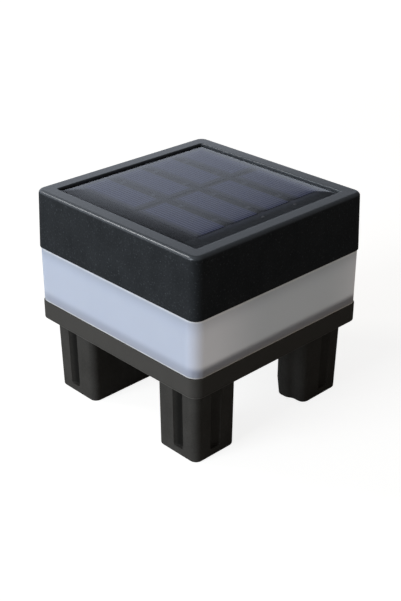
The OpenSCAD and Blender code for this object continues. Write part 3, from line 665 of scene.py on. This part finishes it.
def frosted_band(name):
    """Milky plastic with painted light: painted highlights at its open edges, painted shade low down where
    the plate shows through it, a painted shadow of the cover at the top, and a painted glow.
    """
    recipe = Recipe(name)
    spot = recipe.place()
    x, y, z = recipe.parts(spot)
    cloud = recipe.noise(spot, 0.06, 2.0)
    fine = recipe.noise(spot, 3.0, 2.0)
    # Painted shade: greyer low down, where the plate shows through
    low = 1 - recipe.smooth_step(z, RIM_TOP + 0.5, RIM_TOP + 5.0)
    # Painted highlights: pale lines along both open edges
    edge = ((1 - recipe.smooth_step(z, RIM_TOP + 0.35, RIM_TOP + 0.75)) * 0.6).most(
        recipe.smooth_step(z, BAND_TOP - 0.8, BAND_TOP - 0.3) * 0.35)
    # Painted shadow of the cover: darker near the top
    high = recipe.smooth_step(z, BAND_TOP - 4.0, BAND_TOP)
    body = recipe.blend(cloud, (0.425, 0.482, 0.617), (0.457, 0.515, 0.645))
    body = recipe.blend(low * 0.4, body, (0.40, 0.38, 0.41))
    body = recipe.blend(high * 0.3, body, (0.20, 0.23, 0.30))
    # Painted glow that stands for light coming through from the lit side: most at the corners, less near
    # the top, dim and warm low down, none behind the plate's edge
    corner = recipe.smooth_step(abs(y - 6), 12.0, 38.0) * recipe.smooth_step(x, 30.0, 34.0)
    light = recipe.blend(corner, (0.63, 0.60, 0.53), (1.0, 0.92, 0.84))
    light = recipe.blend(recipe.smooth_step(z, BAND_TOP - 6.0, BAND_TOP) * 0.25, light, (0, 0, 0))
    light = recipe.blend(1 - recipe.smooth_step(z, RIM_TOP + 1.9, RIM_TOP + 4.2), light, (0.07, 0.04, 0.0))
    body = recipe.blend(edge, body, (0.97, 0.96, 0.95))
    return recipe.done(recipe.surface(
        Base_Color=body, Roughness=0.38 + 0.1 * fine, Subsurface_Weight=0.85,
        Subsurface_Radius=(1.0, 1.0, 1.0), Subsurface_Scale=0.0016, Specular_IOR_Level=0.4,
        Emission_Color=light, Emission_Strength=0.22, Normal=recipe.bump(fine, 0.006)))


def cell_finish(name):
    """Blue strips with fine pale finger lines, a crystal mottle and dark borders."""
    recipe = Recipe(name)
    spot = recipe.place()
    x, y = recipe.parts(spot)[:2]
    crystal = recipe.add("ShaderNodeTexVoronoi", {"feature": "F1"}, {
        "Vector": recipe.stretched(spot, 1, 1, 0), "Scale": 0.45}, result="Color")
    crystal = recipe.parts(crystal)[0]
    across = (y - STRIPS_START) % STRIP_PITCH
    line = recipe.smooth_step(abs((across - 0.55) % 1.1 - 0.55), 0.26, 0.40)
    # The borders are widest on the side that the domed resin makes look wide
    border = (1 - recipe.smooth_step(across, 0.6, 3.0)).most(across > 10.5)
    border = border.most(1 - recipe.smooth_step(abs(x + 3.8), 1.2, 2.5))
    blue = recipe.blend(crystal, (0.012, 0.018, 0.060), (0.020, 0.027, 0.084))
    body = recipe.blend(line * 0.9, blue, (0.092, 0.096, 0.18))
    body = recipe.blend(border * 0.9, body, (0.008, 0.008, 0.010))
    return recipe.done(recipe.surface(
        Base_Color=body, Roughness=0.42 + 0.1 * crystal, Specular_IOR_Level=0.05,
        Normal=recipe.bump(line, 0.01)))


def circuit_finish(name, mask, track, pitch, gloss=0.5, margin=None):
    """Circuit board: a lacquered face with tracks, pads and a woven ground."""
    recipe = Recipe(name)
    spot = recipe.place()
    weave = recipe.noise(recipe.stretched(spot, 6, 1, 1), 1.0) * recipe.noise(
        recipe.stretched(spot, 1, 6, 1), 1.0)
    cells = recipe.add("ShaderNodeTexBrick", {"offset": 0.35}, {
        "Vector": recipe.stretched(spot, 1, 1, 0), "Scale": pitch, "Mortar Size": 0.07,
        "Mortar Smooth": 0.1, "Color1": (0, 0, 0, 1), "Color2": (0, 0, 0, 1),
        "Mortar": (1, 1, 1, 1)}, result="Fac")
    body = recipe.blend(weave * 1.6, [part * 0.7 for part in mask], mask)
    body = recipe.blend(cells * 0.7, body, track)
    if margin:
        # A paler margin to the right of the strips, palest beside them
        x, y = recipe.parts(spot)[:2]
        fade = recipe.smooth_step(x, STRIPS_END + 0.2, 25.0).most(y < -STRIPS_END)
        body = recipe.blend(x > STRIPS_END - 0.2, body,
                            recipe.blend(fade, (0.060, 0.064, 0.085), margin))
    return recipe.done(recipe.surface(
        Base_Color=body, Roughness=0.4 + 0.25 * weave, Specular_IOR_Level=gloss,
        Normal=recipe.bump(cells + 0.2 * weave, 0.03)))


BLACK = cover_finish("cover_plastic", (0.0265, 0.0285, 0.031))
BASE_BLACK = base_finish("base_plastic", (0.061, 0.057, 0.052))
LID_BLACK = moulded("lid_plastic", (0.016, 0.016, 0.016), 0.5, 2.2, 0.025, 0.35)
WHITE = moulded("reflector_plastic", (0.80, 0.80, 0.78), 0.35, 1.5, 0.01, 0.5, 0.06)
LEVER = moulded("lever_plastic", (0.014, 0.014, 0.015), 0.42, 3.0, 0.01)
CHIP = moulded("chip_plastic", (0.022, 0.022, 0.024), 0.5, 6.0, 0.01)
LAMINATE = moulded("switch_laminate", (0.16, 0.085, 0.03), 0.5, 4.0, 0.02)
CERAMIC = moulded("capacitor_ceramic", (0.36, 0.25, 0.12), 0.45, 3.0, 0.008)
SLEEVE = moulded("sleeve_plastic", (0.02, 0.11, 0.05), 0.3, 1.2, 0.01, 0.5)
RED = moulded("red_wire", (0.42, 0.015, 0.012), 0.38, 3.0, 0.01)
DARK = moulded("black_wire", (0.018, 0.018, 0.019), 0.38, 3.0, 0.01)
ENAMEL = moulded("coil_enamel", (0.03, 0.20, 0.07), 0.3, 5.0, 0.006)
STEEL = metal("plated_steel", (0.62, 0.61, 0.58), 0.3)
TIN = metal("tinned_metal", (0.72, 0.71, 0.70), 0.28, (1, 6, 1))
DULL_SOLDER = moulded("dull_solder", (0.10, 0.10, 0.105), 0.5, 3.0, 0.02, 0.1)
DULL_TIN = moulded("lacquered_tin", (0.018, 0.020, 0.030), 0.45, 3.0, 0.01, 0.1)
NICKEL = metal("battery_steel", (0.66, 0.65, 0.62), 0.24, (1, 1, 6))
BRASS = metal("contact_brass", (0.72, 0.55, 0.27), 0.3, (1, 1, 5))
RUBBER = soft("gasket_rubber", (0.55, 0.55, 0.52), 0.62, 4.0, 0.012)
TAPE = soft("seal_foam", (0.03, 0.03, 0.031), 0.8, 3.2, 0.05)
FOAM = soft("pad_foam", (0.05, 0.05, 0.052), 0.85, 1.8, 0.12)
RESIN = clear("panel_resin", (0.96, 0.97, 1.0), 0.0, 0.07)
LENS = clear("lamp_resin", (0.95, 0.97, 1.0), 0.03, 0.04)
FROSTED = frosted_band("frosted_plastic")
CELL = cell_finish("solar_cells")
BACKING = circuit_finish("panel_backing", (0.007, 0.007, 0.008), (0.010, 0.010, 0.011), 0.12,
                         gloss=0.05, margin=(0.026, 0.029, 0.033))
BOARD = circuit_finish("board_lacquer", (0.012, 0.12, 0.045), (0.05, 0.26, 0.11), 0.16)


def cover_moulding():
    """Cover: a rounded, slightly tapered shell with a framed recess on top and four screw posts inside."""
    cover = block("cover_moulding", (-RIM, -RIM, BAND_TOP), (RIM, RIM, TOP))
    edit(cover)
    round_edges(upright, 3.0, 8)
    pick("faces", facing(TOP, 1))
    resize(COVER_TOP / RIM, COVER_TOP / RIM, 1)
    round_edges(level(TOP), 1.2, 6)
    round_edges(level(BAND_TOP), 0.25, 2)
    leave()
    recess = block("recess", (-RECESS_HALF, -RECESS_HALF, RECESS), (RECESS_HALF, RECESS_HALF, TOP + 1))
    edit(recess)
    round_edges(upright, 0.5, 4)
    leave()
    cut(cover, recess)
    edit(cover)
    reach = RECESS_HALF + 0.1
    round_edges(lambda a, b: level(TOP)(a, b) and max(map(abs, (a.x, a.y, b.x, b.y))) < reach, 0.3, 3)
    # The hollow from below, thin-walled at its mouth
    sink(BAND_TOP, -1, 1.55, 3.2)
    extrude(0, 0, 0)
    mouth, deeper = 33.2, 31.4
    resize(deeper / mouth, deeper / mouth, 1)
    extrude(0, 0, 10.2)
    face_outwards()
    leave()
    posts = []
    for place in CLAMP_PLACES:
        post = rod("post", 3.0, POST_FOOT, 63.0, place)
        edit(post)
        round_edges(level(POST_FOOT), 0.3, 2)
        sink(POST_FOOT, -1, 1.4, 10.5)
        leave()
        posts.append(post)
    unite(cover, *posts)
    cut(cover, rod("hole", 2.4, 61.0, 65.0, PANEL_HOLE))
    dressed(cover, BLACK, "light", "black_plastic", "top_cover", angle=32)


def diffuser_band():
    """Frosted band: a rounded square ring with a lip at each end."""
    band = block("diffuser_band", (-BAND, -BAND, RIM_TOP), (BAND, BAND, BAND_TOP))
    edit(band)
    round_edges(upright, 3.6, 10)
    for height, up, reach in ((BAND_TOP, 1, 2.0), (RIM_TOP, -1, -1.7)):
        round_edges(level(height), 0.3, 3)
        sink(height, up, 1.6, reach)
        pick("faces", facing(height + reach, up))
        inset(1.2)
    # The two end faces become one hole
    pick("faces", lambda middle, normal: abs(normal.z) > 0.9 and math.hypot(middle.x, middle.y) < 1
         and not RIM_TOP - 1 < middle.z < BAND_TOP + 1)
    bpy.ops.mesh.bridge_edge_loops()
    leave()
    dressed(band, FROSTED, "light", "frosted_plastic", "diffuser", angle=32)


def leg(mirrored):
    """One right-hand leg: stepped inner faces, a slanted inner corner and faces that lean in downwards."""
    turn = LEG_CUT - LEG_GAP
    narrow, wide = STEP_PLACE - 1.0, STEP_PLACE + 0.7
    shelf = LEG_GAP + LEG_STEP
    half = [(turn, LEG_GAP, 0.9), (narrow, LEG_GAP, 0.75), (wide, shelf, 0.8), (LEG_END, shelf, 2.2)]
    corners = half + [(LEG_END, LEG_END, 2.3)] + [(y, x, reach) for x, y, reach in reversed(half)]
    piece = outline("leg", corners, 0, UNDERSIDE + 1)
    edit(piece)
    round_edges(level(0), 0.3, 2)
    far = LEG_END - 2.4
    pick("verts", lambda spot: spot.z > 20 and spot.x > far)
    shift(LEG_LEAN, 0, 0)
    pick("verts", lambda spot: spot.z > 20 and spot.y > far)
    shift(0, LEG_LEAN, 0)
    leave()
    start = shelf + WALL
    end = LEG_END - WALL
    slant = HOLLOW_CUT - start
    corners = [(slant, start), (end, start), (end, end), (start, end), (start, slant)]
    cut(piece, outline("hollow", [(x, y, 0.6) for x, y in corners], -1, UNDERSIDE, 3))
    if mirrored:
        other = copied(piece, "leg", flip=(0, 1, 0))
        discard(piece)
        return other
    return piece


def bay_block():
    """Long block between the two left legs, open below for the battery."""
    left, right = -LEG_END, -LEG_GAP
    corners = [(right, -LEG_END), (right, LEG_END), (left, LEG_END), (left, -LEG_END)]
    piece = outline("bay", [(x, y, 2.3) for x, y in corners], 0, UNDERSIDE + 1)
    edit(piece)
    round_edges(level(0), 0.3, 2)
    pick("verts", lambda spot: spot.z > 20 and spot.x < left + 2.4)
    shift(-LEG_LEAN, 0, 0)
    for side in (-1, 1):
        pick("verts", lambda spot: spot.z > 20 and spot.y * side > LEG_END - 2.4)
        shift(0, side * LEG_LEAN, 0)
    leave()
    # The room for the battery, and a wider ledge at its mouth for the cover
    for grow, low, high in ((0, 1.0, UNDERSIDE), (0.7, -1, 1.8)):
        wide, long = BAY_ROOM + grow, BAY_HALF + grow
        cut(piece, block("room", (BAY_X - wide, -long, low), (BAY_X + wide, long, high)))
    inside = []
    start, end = BAY_X - BAY_ROOM - 0.3, BAY_X + BAY_ROOM + 0.3
    for side, place in zip((-1, 1), LID_PLACES):
        inside.append(rod("post", 2.6, 1.8, UNDERSIDE + 0.5, place, 32))
        saddle, rib = side * 13, side * 24.75
        cradle = block("saddle", (start, saddle - 0.7, BATTERY_Z), (end, saddle + 0.7, UNDERSIDE + 0.3))
        round_tool = turned("tool", [(0, -2), (5.4, -2), (5.4, 2), (0, 2)], (BAY_X, saddle, BATTERY_Z),
                            (90, 0, 0))
        inside.append(cut(cradle, round_tool))
        inside.append(block("rib", (start, rib - 0.6, 1.8), (end, rib + 0.6, 17)))
    for part in inside:
        combine(piece, part, "UNION")
    return piece


def base_moulding():
    """Base: rim, plate, two legs and the battery bay in one moulding, with its posts, pillars and holes."""
    base = block("base_moulding", (-RIM, -RIM, RIM_LOW), (RIM, RIM, RIM_TOP))
    edit(base)
    round_edges(upright, RIM_CORNER, 8)
    round_edges(level(RIM_LOW), 0.25, 3)
    sink(RIM_LOW, -1, 2.7, UNDERSIDE - RIM_LOW)
    round_edges(level(RIM_TOP), 0.2, 2)
    sink(RIM_TOP, 1, 1.6, PLATE - RIM_TOP)
    leave()
    lean = math.degrees(math.atan(LEG_LEAN / UNDERSIDE))
    legs = [leg(False), leg(True), bay_block()]
    grooves = []
    for turn in range(4):
        for place in (-23.6, 24.2):
            groove = turned("groove", [(0, -22.6), (1.9, -22.6), (GROOVE_RADIUS, -22.2),
                                       (GROOVE_RADIUS, 0.3), (0, 0.3)], tilt=(lean, 0, 0))
            groove.data.transform(Matrix.Translation(metres(place, -LEG_TOP - 1.05, UNDERSIDE)))
            groove.data.transform(Matrix.Rotation(turn * math.pi / 2, 4, "Z"))
            grooves.append(groove)
    stand = joined("stand", legs)
    cut(stand, *grooves)
    combine(base, stand, "UNION")
    raised = [rod("pillar", 1.8, 26.5, 37.5, place, 32) for place in PILLARS]
    for top, places in ((33.0, BOARD_PLACES), (28.5, EAR_PLACES)):
        raised += [rod("post", 2.6, 26.5, top, place, 32) for place in places]
    unite(base, *raised)
    holes = []
    for radius, low, high, places, sides in (
            (1.5, 24, 29, CLAMP_PLACES, 32), (0.95, 29.3, 34, BOARD_PLACES, 24),
            (0.95, 25.85, 29, EAR_PLACES, 24), (0.95, 1.0, 8.8, LID_PLACES, 24),
            (1.1, 24, 29, BAY_HOLES, 24)):
        holes += [rod("hole", radius, low, high, place, sides) for place in places]
    x, y = SWITCH
    holes.append(block("slot", (x - 2.3, y - 1.2, 24), (x + 2.3, y + 1.2, 29)))
    cut(base, *holes)
    dressed(base, BASE_BLACK, "light", "black_plastic", "base_housing", angle=32)


def resin_layer():
    """Clear resin over the cells: a low rounded edge that rises to a gentle crown."""
    half, height = PANEL_HALF, RESIN_EDGE
    resin = block("resin_layer", (-half, -half, PANEL_FACE + 0.02), (half, half, height))
    edit(resin)
    round_edges(upright, 0.8, 5)
    pick("faces", facing(height, 1))
    crown = [(29.19, 66.3), (29.0, 66.4), (28.6, 66.49), (27.8, 66.6), (26.8, 66.72), (25.8, 66.82),
             (24.8, 66.89), (23.6, 66.94), (22.0, 66.97), (18.0, 66.99), (12.0, TOP)]
    for reach, rise in crown:
        extrude(0, 0, rise - height)
        resize(reach / half, reach / half, 1)
        half, height = reach, rise
    leave()
    dressed(resin, RESIN, "light", "clear_resin", "panel_resin", angle=50)


def solder_beads():
    bead = turned("bead", [(0, 0), (0.5, 0), (0.48, 0.08), (0.36, 0.16), (0.18, 0.2), (0, 0.2)], steps=20)
    beads = [copied(bead, "bead", at=(24.65, y, PANEL_FACE)) for y in (1.4, 14.9)]
    discard(bead)
    dressed(joined("solder_beads", beads), DULL_SOLDER, "light", "tinned_metal", "solder_spots")


def lamp_set():
    """Four clear domed lamps with the metal frame that is cast into each, and their soldered wires."""
    dome = [(2.5 * math.cos(angle), 6.1 + 2.5 * math.sin(angle))
            for angle in (math.pi / 24 * i for i in range(12))]
    lens = painted(turned("lens", [(0, 0), (2.7, 0), (2.9, 0.15), (2.9, 0.85), (2.75, 1.0), (2.55, 1.05),
                                   (2.5, 1.2), *dome, (0, 8.6)]), LENS)
    anvil = soften(block("anvil", (-1.75, -0.25, 0.05), (-0.35, 0.25, 4.0)), 0.08)
    post = soften(block("post", (0.45, -0.25, 0.05), (1.4, 0.25, 4.4)), 0.08)
    cup = turned("cup", [(0, 3.8), (0.7, 3.8), (0.95, 4.7), (0.8, 4.7), (0.45, 4.2), (0, 4.2)],
                 (-0.75, 0, 0), steps=24)
    whole = joined("whole", [lens, painted(joined("inner", [anvil, post, cup]), TIN)])
    lead = turned("lead", [(0, -2.2), (0.2, -2.2), (0.25, -2.12), (0.25, -1.8), (0.34, -1.5), (0.8, -1.22),
                           (0.8, -1.2), (0.25, -1.2), (0.25, -0.01), (0, -0.01)], steps=16)
    lamps, leads = [], []
    for x, y in LAMP_PLACES:
        lamps.append(copied(whole, "lamp", at=(x, y, BOARD_TOP)))
        leads += [copied(lead, "lead", at=(x + side * 1.27, y, BOARD_TOP)) for side in (-1, 1)]
    discard(whole, lead)
    dressed(joined("domed_lamps", lamps), None, "light", "lamp_resin", "lamps")
    dressed(joined("lamp_wires", leads), TIN, "light", "tinned_metal", "lamp_leads")


def chip():
    """Chip body with a pin-one dimple and eight bent legs."""
    x, y, z = -5.5, 1.0, BOARD_TOP
    body = soften(block("body", (x - 2.45, y - 1.5, z + 0.1), (x + 2.45, y + 1.5, z + 1.5)), 0.14, 3)
    cut(body, turned("dimple", [(0, 1.38), (0.28, 1.38), (0.34, 1.6), (0, 1.6)], (x - 1.9, y - 1.0, z),
                     steps=20))
    legs = []
    for side in (-1, 1):
        line = eased([(x, y + side * out, z + up) for out, up in ((1.45, 0.8), (1.7, 0.8), (1.74, 0.09),
                                                                  (1.94, 0.09))], 0.12, 3)
        for place in (-1.5, -0.5, 0.5, 1.5):
            start = Vector((place * 1.27 - 0.2, 0, 0))
            legs.append(strip("leg", [spot + start for spot in line], (0.4, 0, 0), 0.16))
    piece = joined("driver_chip_body", [painted(body, CHIP), painted(joined("legs", legs), TIN)])
    dressed(piece, None, "light", "chip_plastic", "driver_chip")


def wound_coil():
    """Coil of lacquered wire on a waisted core, and the wires that hold it on the board."""
    spot, tilt = (0, BOARD_Y + 7, BOARD_TOP + 1.4), (0, 90, 0)
    x, y, z = spot
    core = turned("core", [(0, -4), (1.25, -4), (1.4, -3.85), (1.4, -3.35), (1.25, -3.2), (0.95, -3.2),
                           (0.95, 3.2), (1.25, 3.2), (1.4, 3.35), (1.4, 3.85), (1.25, 4), (0, 4)],
                  spot, tilt, 32)
    winding = helix("winding", 1.12, 1.12, -3.0, 3.0, 16, 0.2, spot, tilt)
    piece = joined("wound_coil", [painted(winding, ENAMEL), painted(core, CHIP)])
    dressed(piece, None, "light", "coil_coating", "coil", angle=50)
    leads = []
    for side in (-1, 1):
        foot = (x + side * 6, y, BOARD_TOP)
        leads.append(tube("lead", eased([(x + side * 4, y, z), (x + side * 6, y, z), foot], 0.7), 0.3))
        leads.append(turned("fillet", [(0, 0), (0.75, 0), (0.5, 0.15), (0.33, 0.5), (0, 0.5)], foot,
                            steps=20))
    dressed(joined("coil_wires", leads), TIN, "light", "tinned_metal", "coil_leads", angle=50)


def capacitor():
    x, y, z = 5.5, 1.0, BOARD_TOP
    middle = soften(block("middle", (x - 1.0, y - 1.44, z + 0.05), (x + 1.0, y + 1.44, z + 1.94)), 0.1)
    caps = [soften(block("cap", (x + low, y - 1.5, z), (x + high, y + 1.5, z + 2)), 0.18, 3)
            for low, high in ((-1.5, -0.85), (0.85, 1.5))]
    piece = joined("capacitor_chip", [painted(middle, CERAMIC), painted(joined("caps", caps), TIN)])
    dressed(piece, None, "light", "capacitor_ceramic", "capacitor")


def slide_lever():
    """Lever of the switch: a flat foot and a finger stem with ridges across its end."""
    x, y = SWITCH[0] - 1, SWITCH[1]
    foot = soften(block("foot", (x - 2.5, y - 1.9, 29.0), (x + 2.5, y + 1.9, 30.7)), 0.2)
    stem = soften(block("stem", (x - 1, y - 0.9, 24.2), (x + 1, y + 0.9, 30.0)), 0.15)
    for place in (-0.5, 0, 0.5):
        cut(stem, block("groove", (x + place - 0.12, y - 1, 24.0), (x + place + 0.12, y + 1, 24.5)))
    dressed(settle(unite(foot, stem), "slide_lever"), LEVER, "switch", "switch_plastic", "switch_lever")


def screw(radius, head, thickness, length):
    """Screw at the origin with its shank up: rounded head, cross, thread and point."""
    profile = [(0, -thickness), (head * 0.72, -thickness), (head * 0.9, -0.85 * thickness),
               (head, -0.5 * thickness), (head, -0.02), (head * 0.97, 0), (radius, 0), (radius, 0.35)]
    root, pitch, z = radius * 0.78, radius * 0.62, 0.5
    while z + pitch < length - radius * 1.4:
        profile += [(root, z), (root, z + pitch * 0.25), (radius, z + pitch * 0.6),
                    (radius, z + pitch * 0.72)]
        z += pitch
    profile += [(root, z), (root * 0.8, length - radius * 0.9), (0, length)]
    piece = turned("screw", profile, steps=28)
    for wide, long in ((0.55, 0.3), (0.3, 0.55)):
        across, along = (head * wide, 0.3) if wide > long else (0.3, head * long)
        slot = block("slot", (-across, -along, -thickness - 0.1), (across, along, -0.4 * thickness))
        edit(slot)
        pick("faces", facing(-0.4 * thickness, 1))
        resize(0.7, 0.7, 1)
        leave()
        cut(piece, slot)
    return piece


def screws(name, node, body, shape, places, height, up=False):
    """Set of screws of one shape, each turned a little further, with their heads below or up."""
    first = screw(*shape)
    flip = (0, 0, 1) if up else None
    copies = [copied(first, "screw", at=(*place, height), turn=17 * (i + 1), flip=flip)
              for i, place in enumerate(places)]
    discard(first)
    dressed(joined(name, copies), STEEL, body, "plated_steel", node)


def battery():
    """Cell: a steel can with a crimped neck and a button, in a shrunk sleeve that folds over both ends."""
    spot, tilt = (BAY_X, 0, BATTERY_Z), (-90, 0, 0)
    can = turned("battery_can_steel", [
        (0, -23.75), (1.5, -23.75), (1.8, -23.65), (1.9, -23.45), (1.9, -23.1), (2.1, -22.9),
        (4.6, -22.85), (4.95, -22.7), (5.05, -22.4), (5.05, -21.3), (4.8, -20.9), (5.05, -20.5),
        (5.05, 20.1), (4.9, 20.5), (4.5, 20.65), (0, 20.65)], spot, tilt, 64)
    dressed(can, NICKEL, "light", "plated_steel", "battery_can")
    wrap = turned("battery_wrap", [
        (4.65, -23.0), (4.9, -22.98), (5.12, -22.8), (5.2, -22.4), (5.2, -21.4), (4.97, -20.9),
        (5.2, -20.4), (5.2, 20.2), (5.1, 20.6), (4.85, 20.8), (4.65, 20.8), (4.65, 20.66),
        (4.9, 20.6), (5.05, 20.1), (5.05, -20.5), (4.82, -20.9), (5.05, -21.3), (5.05, -22.4),
        (4.95, -22.7), (4.65, -22.86), (4.65, -23.0)], spot, tilt, 64)
    dressed(wrap, SLEEVE, "light", "sleeve_plastic", "battery_sleeve")


def spring():
    """Conical contact spring that winds from its plate to the battery."""
    room = CONTACT - BATTERY_END - 0.7
    at, tilt = (BAY_X, CONTACT - 0.35, BATTERY_Z), (90, 0, 0)
    coil = helix("contact_coil", 3.6, 1.9, 0, room, 3, 0.35, at, tilt, 32)
    dressed(coil, STEEL, "light", "tinned_metal", "contact_spring", angle=60)


def wires():
    """Wires between the panel, the battery's contacts, the switch and the board."""
    run, joint = 28.3, 35.6
    x, y = PANEL_HOLE
    panel = [[(x + side * 1.3, y, 64.6), (x + side * 1.3, y, 60.9), (x + side * 3.8, y, 50.8),
              (x + side * 1.3, y, 39.7), (x + side * 1.3, y, BOARD_TOP)] for side in (-1, 1)]
    # Each battery wire climbs from its contact and goes through a hole in the plate
    climbs = [[(BAY_X, side * 23.95, 17.9), (BAY_X, side * 23.95, 19), (*hole, 24), (*hole, run)]
              for side, hole in zip((-1, 1), BAY_HOLES)]
    ends = [[(-5.8, -22.55, run), (1.4, -22.55, joint), (1.4, -17.15, joint)],
            [(-17, BOARD_Y, run), (-17, BOARD_Y, 33)]]
    battery_lines = [climb + end for climb, end in zip(climbs, ends)]
    switch = [[(4, -16.75, joint), (4, -3.5, joint), (4, -3.5, BOARD_TOP)]]
    for node, slot, finish, lines in (
            ("panel_wires", "wire_red", RED, panel), ("battery_wires", "wire_black", DARK, battery_lines),
            ("switch_wire", "wire_red", RED, switch)):
        parts = [wire(node + "_part", line, 0.55, finish, 0.8) for line in lines]
        dressed(joined(node.replace("wire", "lead"), parts), None, "light", slot, node, angle=50)


# Pieces that keep the outline of their solid.
# Each has its name, node, finish, body, slot, the rounding of its edges and that rounding's steps
KEPT = [
    ("backing_board", "solar_board", BACKING, "light", "board_dark", 0.12, 2),
    ("cell_strips", "solar_cells", CELL, "light", "solar_cell", 0.05, 1),
    ("strip_ribbons", "cell_ribbons", DULL_TIN, "light", "tinned_metal", 0.03, 1),
    ("seal_ring", "panel_seal", TAPE, "light", "foam", 0.2, 3),
    ("lower_gasket_ring", "lower_gasket", RUBBER, "light", "gasket_rubber", 0.45, 4),
    ("upper_gasket_ring", "upper_gasket", RUBBER, "light", "gasket_rubber", 0.45, 4),
    ("reflector_plate", "reflector", WHITE, "light", "white_plastic", 0.3, 3),
    ("circuit_board", "light_board", BOARD, "light", "board_green", 0.08, 1),
    ("switch_shell", "switch_case", STEEL, "light", "plated_steel", 0.15, 2),
    ("switch_base", "switch_block", LAMINATE, "light", "brown_laminate", 0.1, 2),
    ("switch_tags", "switch_terminals", BRASS, "light", "brass_plate", 0.08, 2),
    ("button_contact", "contact_plate", BRASS, "light", "brass_plate", 0.1, 2),
    ("spring_contact", "spring_plate", TIN, "light", "tinned_metal", 0.1, 2),
    ("bay_lid", "battery_cover", LID_BLACK, "bay_cover", "black_plastic", 0.22, 3),
    ("battery_foam", "battery_pad", FOAM, "bay_cover", "foam", 0.5, 4),
]

cover_moulding()
diffuser_band()
base_moulding()
resin_layer()
solder_beads()
lamp_set()
chip()
wound_coil()
capacitor()
slide_lever()
battery()
spring()
wires()
screws("clamp_screws", "assembly_screws", "light", (1.25, 2.35, 1.7, 12), CLAMP_PLACES, UNDERSIDE)
screws("board_screw_set", "board_screws", "light", (0.9, 1.8, 1.2, 4.5), BOARD_PLACES, BOARD_TOP, up=True)
screws("switch_screw_pair", "switch_screws", "light", (0.9, 1.8, 1.2, 2.8), EAR_PLACES, 28.9, up=True)
screws("lid_screw_pair", "lid_screws", "bay_cover", (0.9, 1.8, 0.6, 7), LID_PLACES, 0.9)
for name, node, finish, body, slot, width, segments in KEPT:
    piece = dressed(from_node(node, name, width, segments), finish, body, slot, node)
    slot == "foam"


# Finishes of the hidden CAD nodes too, for whoever shows them
for node, finish in {
        "base_housing": BASE_BLACK, "diffuser": FROSTED, "top_cover": BLACK, "panel_resin": RESIN,
        "solder_spots": TIN, "lamps": LENS, "lamp_leads": TIN, "driver_chip": CHIP, "coil": ENAMEL,
        "coil_leads": TIN, "capacitor": CERAMIC, "switch_lever": LEVER, "switch_screws": STEEL,
        "board_screws": STEEL, "battery_can": NICKEL, "battery_sleeve": SLEEVE, "contact_spring": STEEL,
        "lid_screws": STEEL, "assembly_screws": STEEL, "panel_wires": RED, "battery_wires": DARK,
        "switch_wire": RED, **{row[1]: row[2] for row in KEPT}}.items():
    painted(frame["nodes"][node], finish)


def studio():
    """Pale floor and soft surroundings."""
    paper = Recipe("floor_paper")
    spot = paper.place()
    x, y = paper.parts(spot)[:2]
    fibre = paper.noise(spot, 1.2, 3.0)
    # The camera sees the floor turn white with its distance, so that it shows no edge
    away = paper.smooth_step((x * x + y * y) ** 0.5, 200.0, 900.0)
    shown = paper.add("ShaderNodeLightPath", result="Is Camera Ray") * (0.85 + 0.15 * away)
    paper.done(paper.surface(
        Base_Color=paper.blend(fibre, (0.47, 0.45, 0.42), (0.50, 0.48, 0.45)), Roughness=0.9,
        Specular_IOR_Level=0.1, Emission_Color=paper.blend(shown, (0, 0, 0), (1, 1, 1)),
        Emission_Strength=1.0))
    bpy.ops.mesh.primitive_plane_add(size=8, location=(0, 0, 0))
    floor = settle(bpy.context.object, "floor")
    floor.data.materials.append(paper.owner)

    sky = Recipe("surroundings", world=True)
    straight, mirrored, through = [sky.add("ShaderNodeLightPath", result=f"Is {kind} Ray")
                                   for kind in ("Camera", "Glossy", "Transmission")]
    x, y, up = sky.parts(sky.add("ShaderNodeTexCoord", result="Generated"))
    # Gloss sees bright surroundings low on the far side, and dim ones elsewhere
    glow = 0.80 - 0.74 * sky.smooth_step(up + 0.45 * (x + y), 0.29, 0.52)
    strength = straight.most(mirrored.most(through) * glow).most(0.11)
    tint = sky.blend(mirrored, (1.0, 0.93, 0.84), (0.90, 0.97, 1.10))
    tint = sky.blend(straight, tint, (1, 1, 1))
    sky.done(sky.add("ShaderNodeBackground", sockets={"Color": tint, "Strength": strength}))
    bpy.context.scene.world = sky.owner


def lamp(name, place, size, watts, colour=(1, 1, 1), target=(0, 0, 0.035)):
    data = bpy.data.lights.new(name, "AREA")
    data.shape = "SQUARE"
    data.size = size
    data.energy = watts
    data.color = colour
    piece = linked(name, data)
    piece.location = place
    piece.rotation_euler = (Vector(target) - Vector(place)).to_track_quat("-Z", "Y").to_euler()


def camera():
    """Camera at the photograph's place, found by fitting the solids' edges to it."""
    azimuth, height, roll = (math.radians(angle) for angle in (45.930, 27.227, 0.147))
    ahead = -Vector((math.sin(azimuth) * math.cos(height), -math.cos(azimuth) * math.cos(height),
                     math.sin(height)))
    right = ahead.cross(Vector((0, 0, 1))).normalized()
    above = right.cross(ahead)
    right, above = (right * math.cos(roll) + above * math.sin(roll),
                    above * math.cos(roll) - right * math.sin(roll))
    data = bpy.data.cameras.new("camera")
    data.sensor_width = 36
    data.lens = 64.62
    data.clip_start, data.clip_end = 0.01, 20
    piece = linked("camera", data)
    turn = Matrix((right, above, -ahead)).transposed().to_4x4()
    piece.matrix_world = Matrix.Translation((0.214697, -0.207116, 0.183712)) @ turn
    bpy.context.scene.camera = piece


studio()
lamp("left_lamp", (-0.10, -0.98, 0.46), 0.5, 6.5, (0.84, 0.92, 1.0))
lamp("low_lamp", (-0.52, -0.95, 0.10), 0.3, 3.2, (0.86, 0.93, 1.0), (0, 0, 0.01))
lamp("top_lamp", (-0.66, -0.41, 0.68), 0.24, 1.6)
camera()
bpy.context.scene.view_settings.view_transform = "Standard"
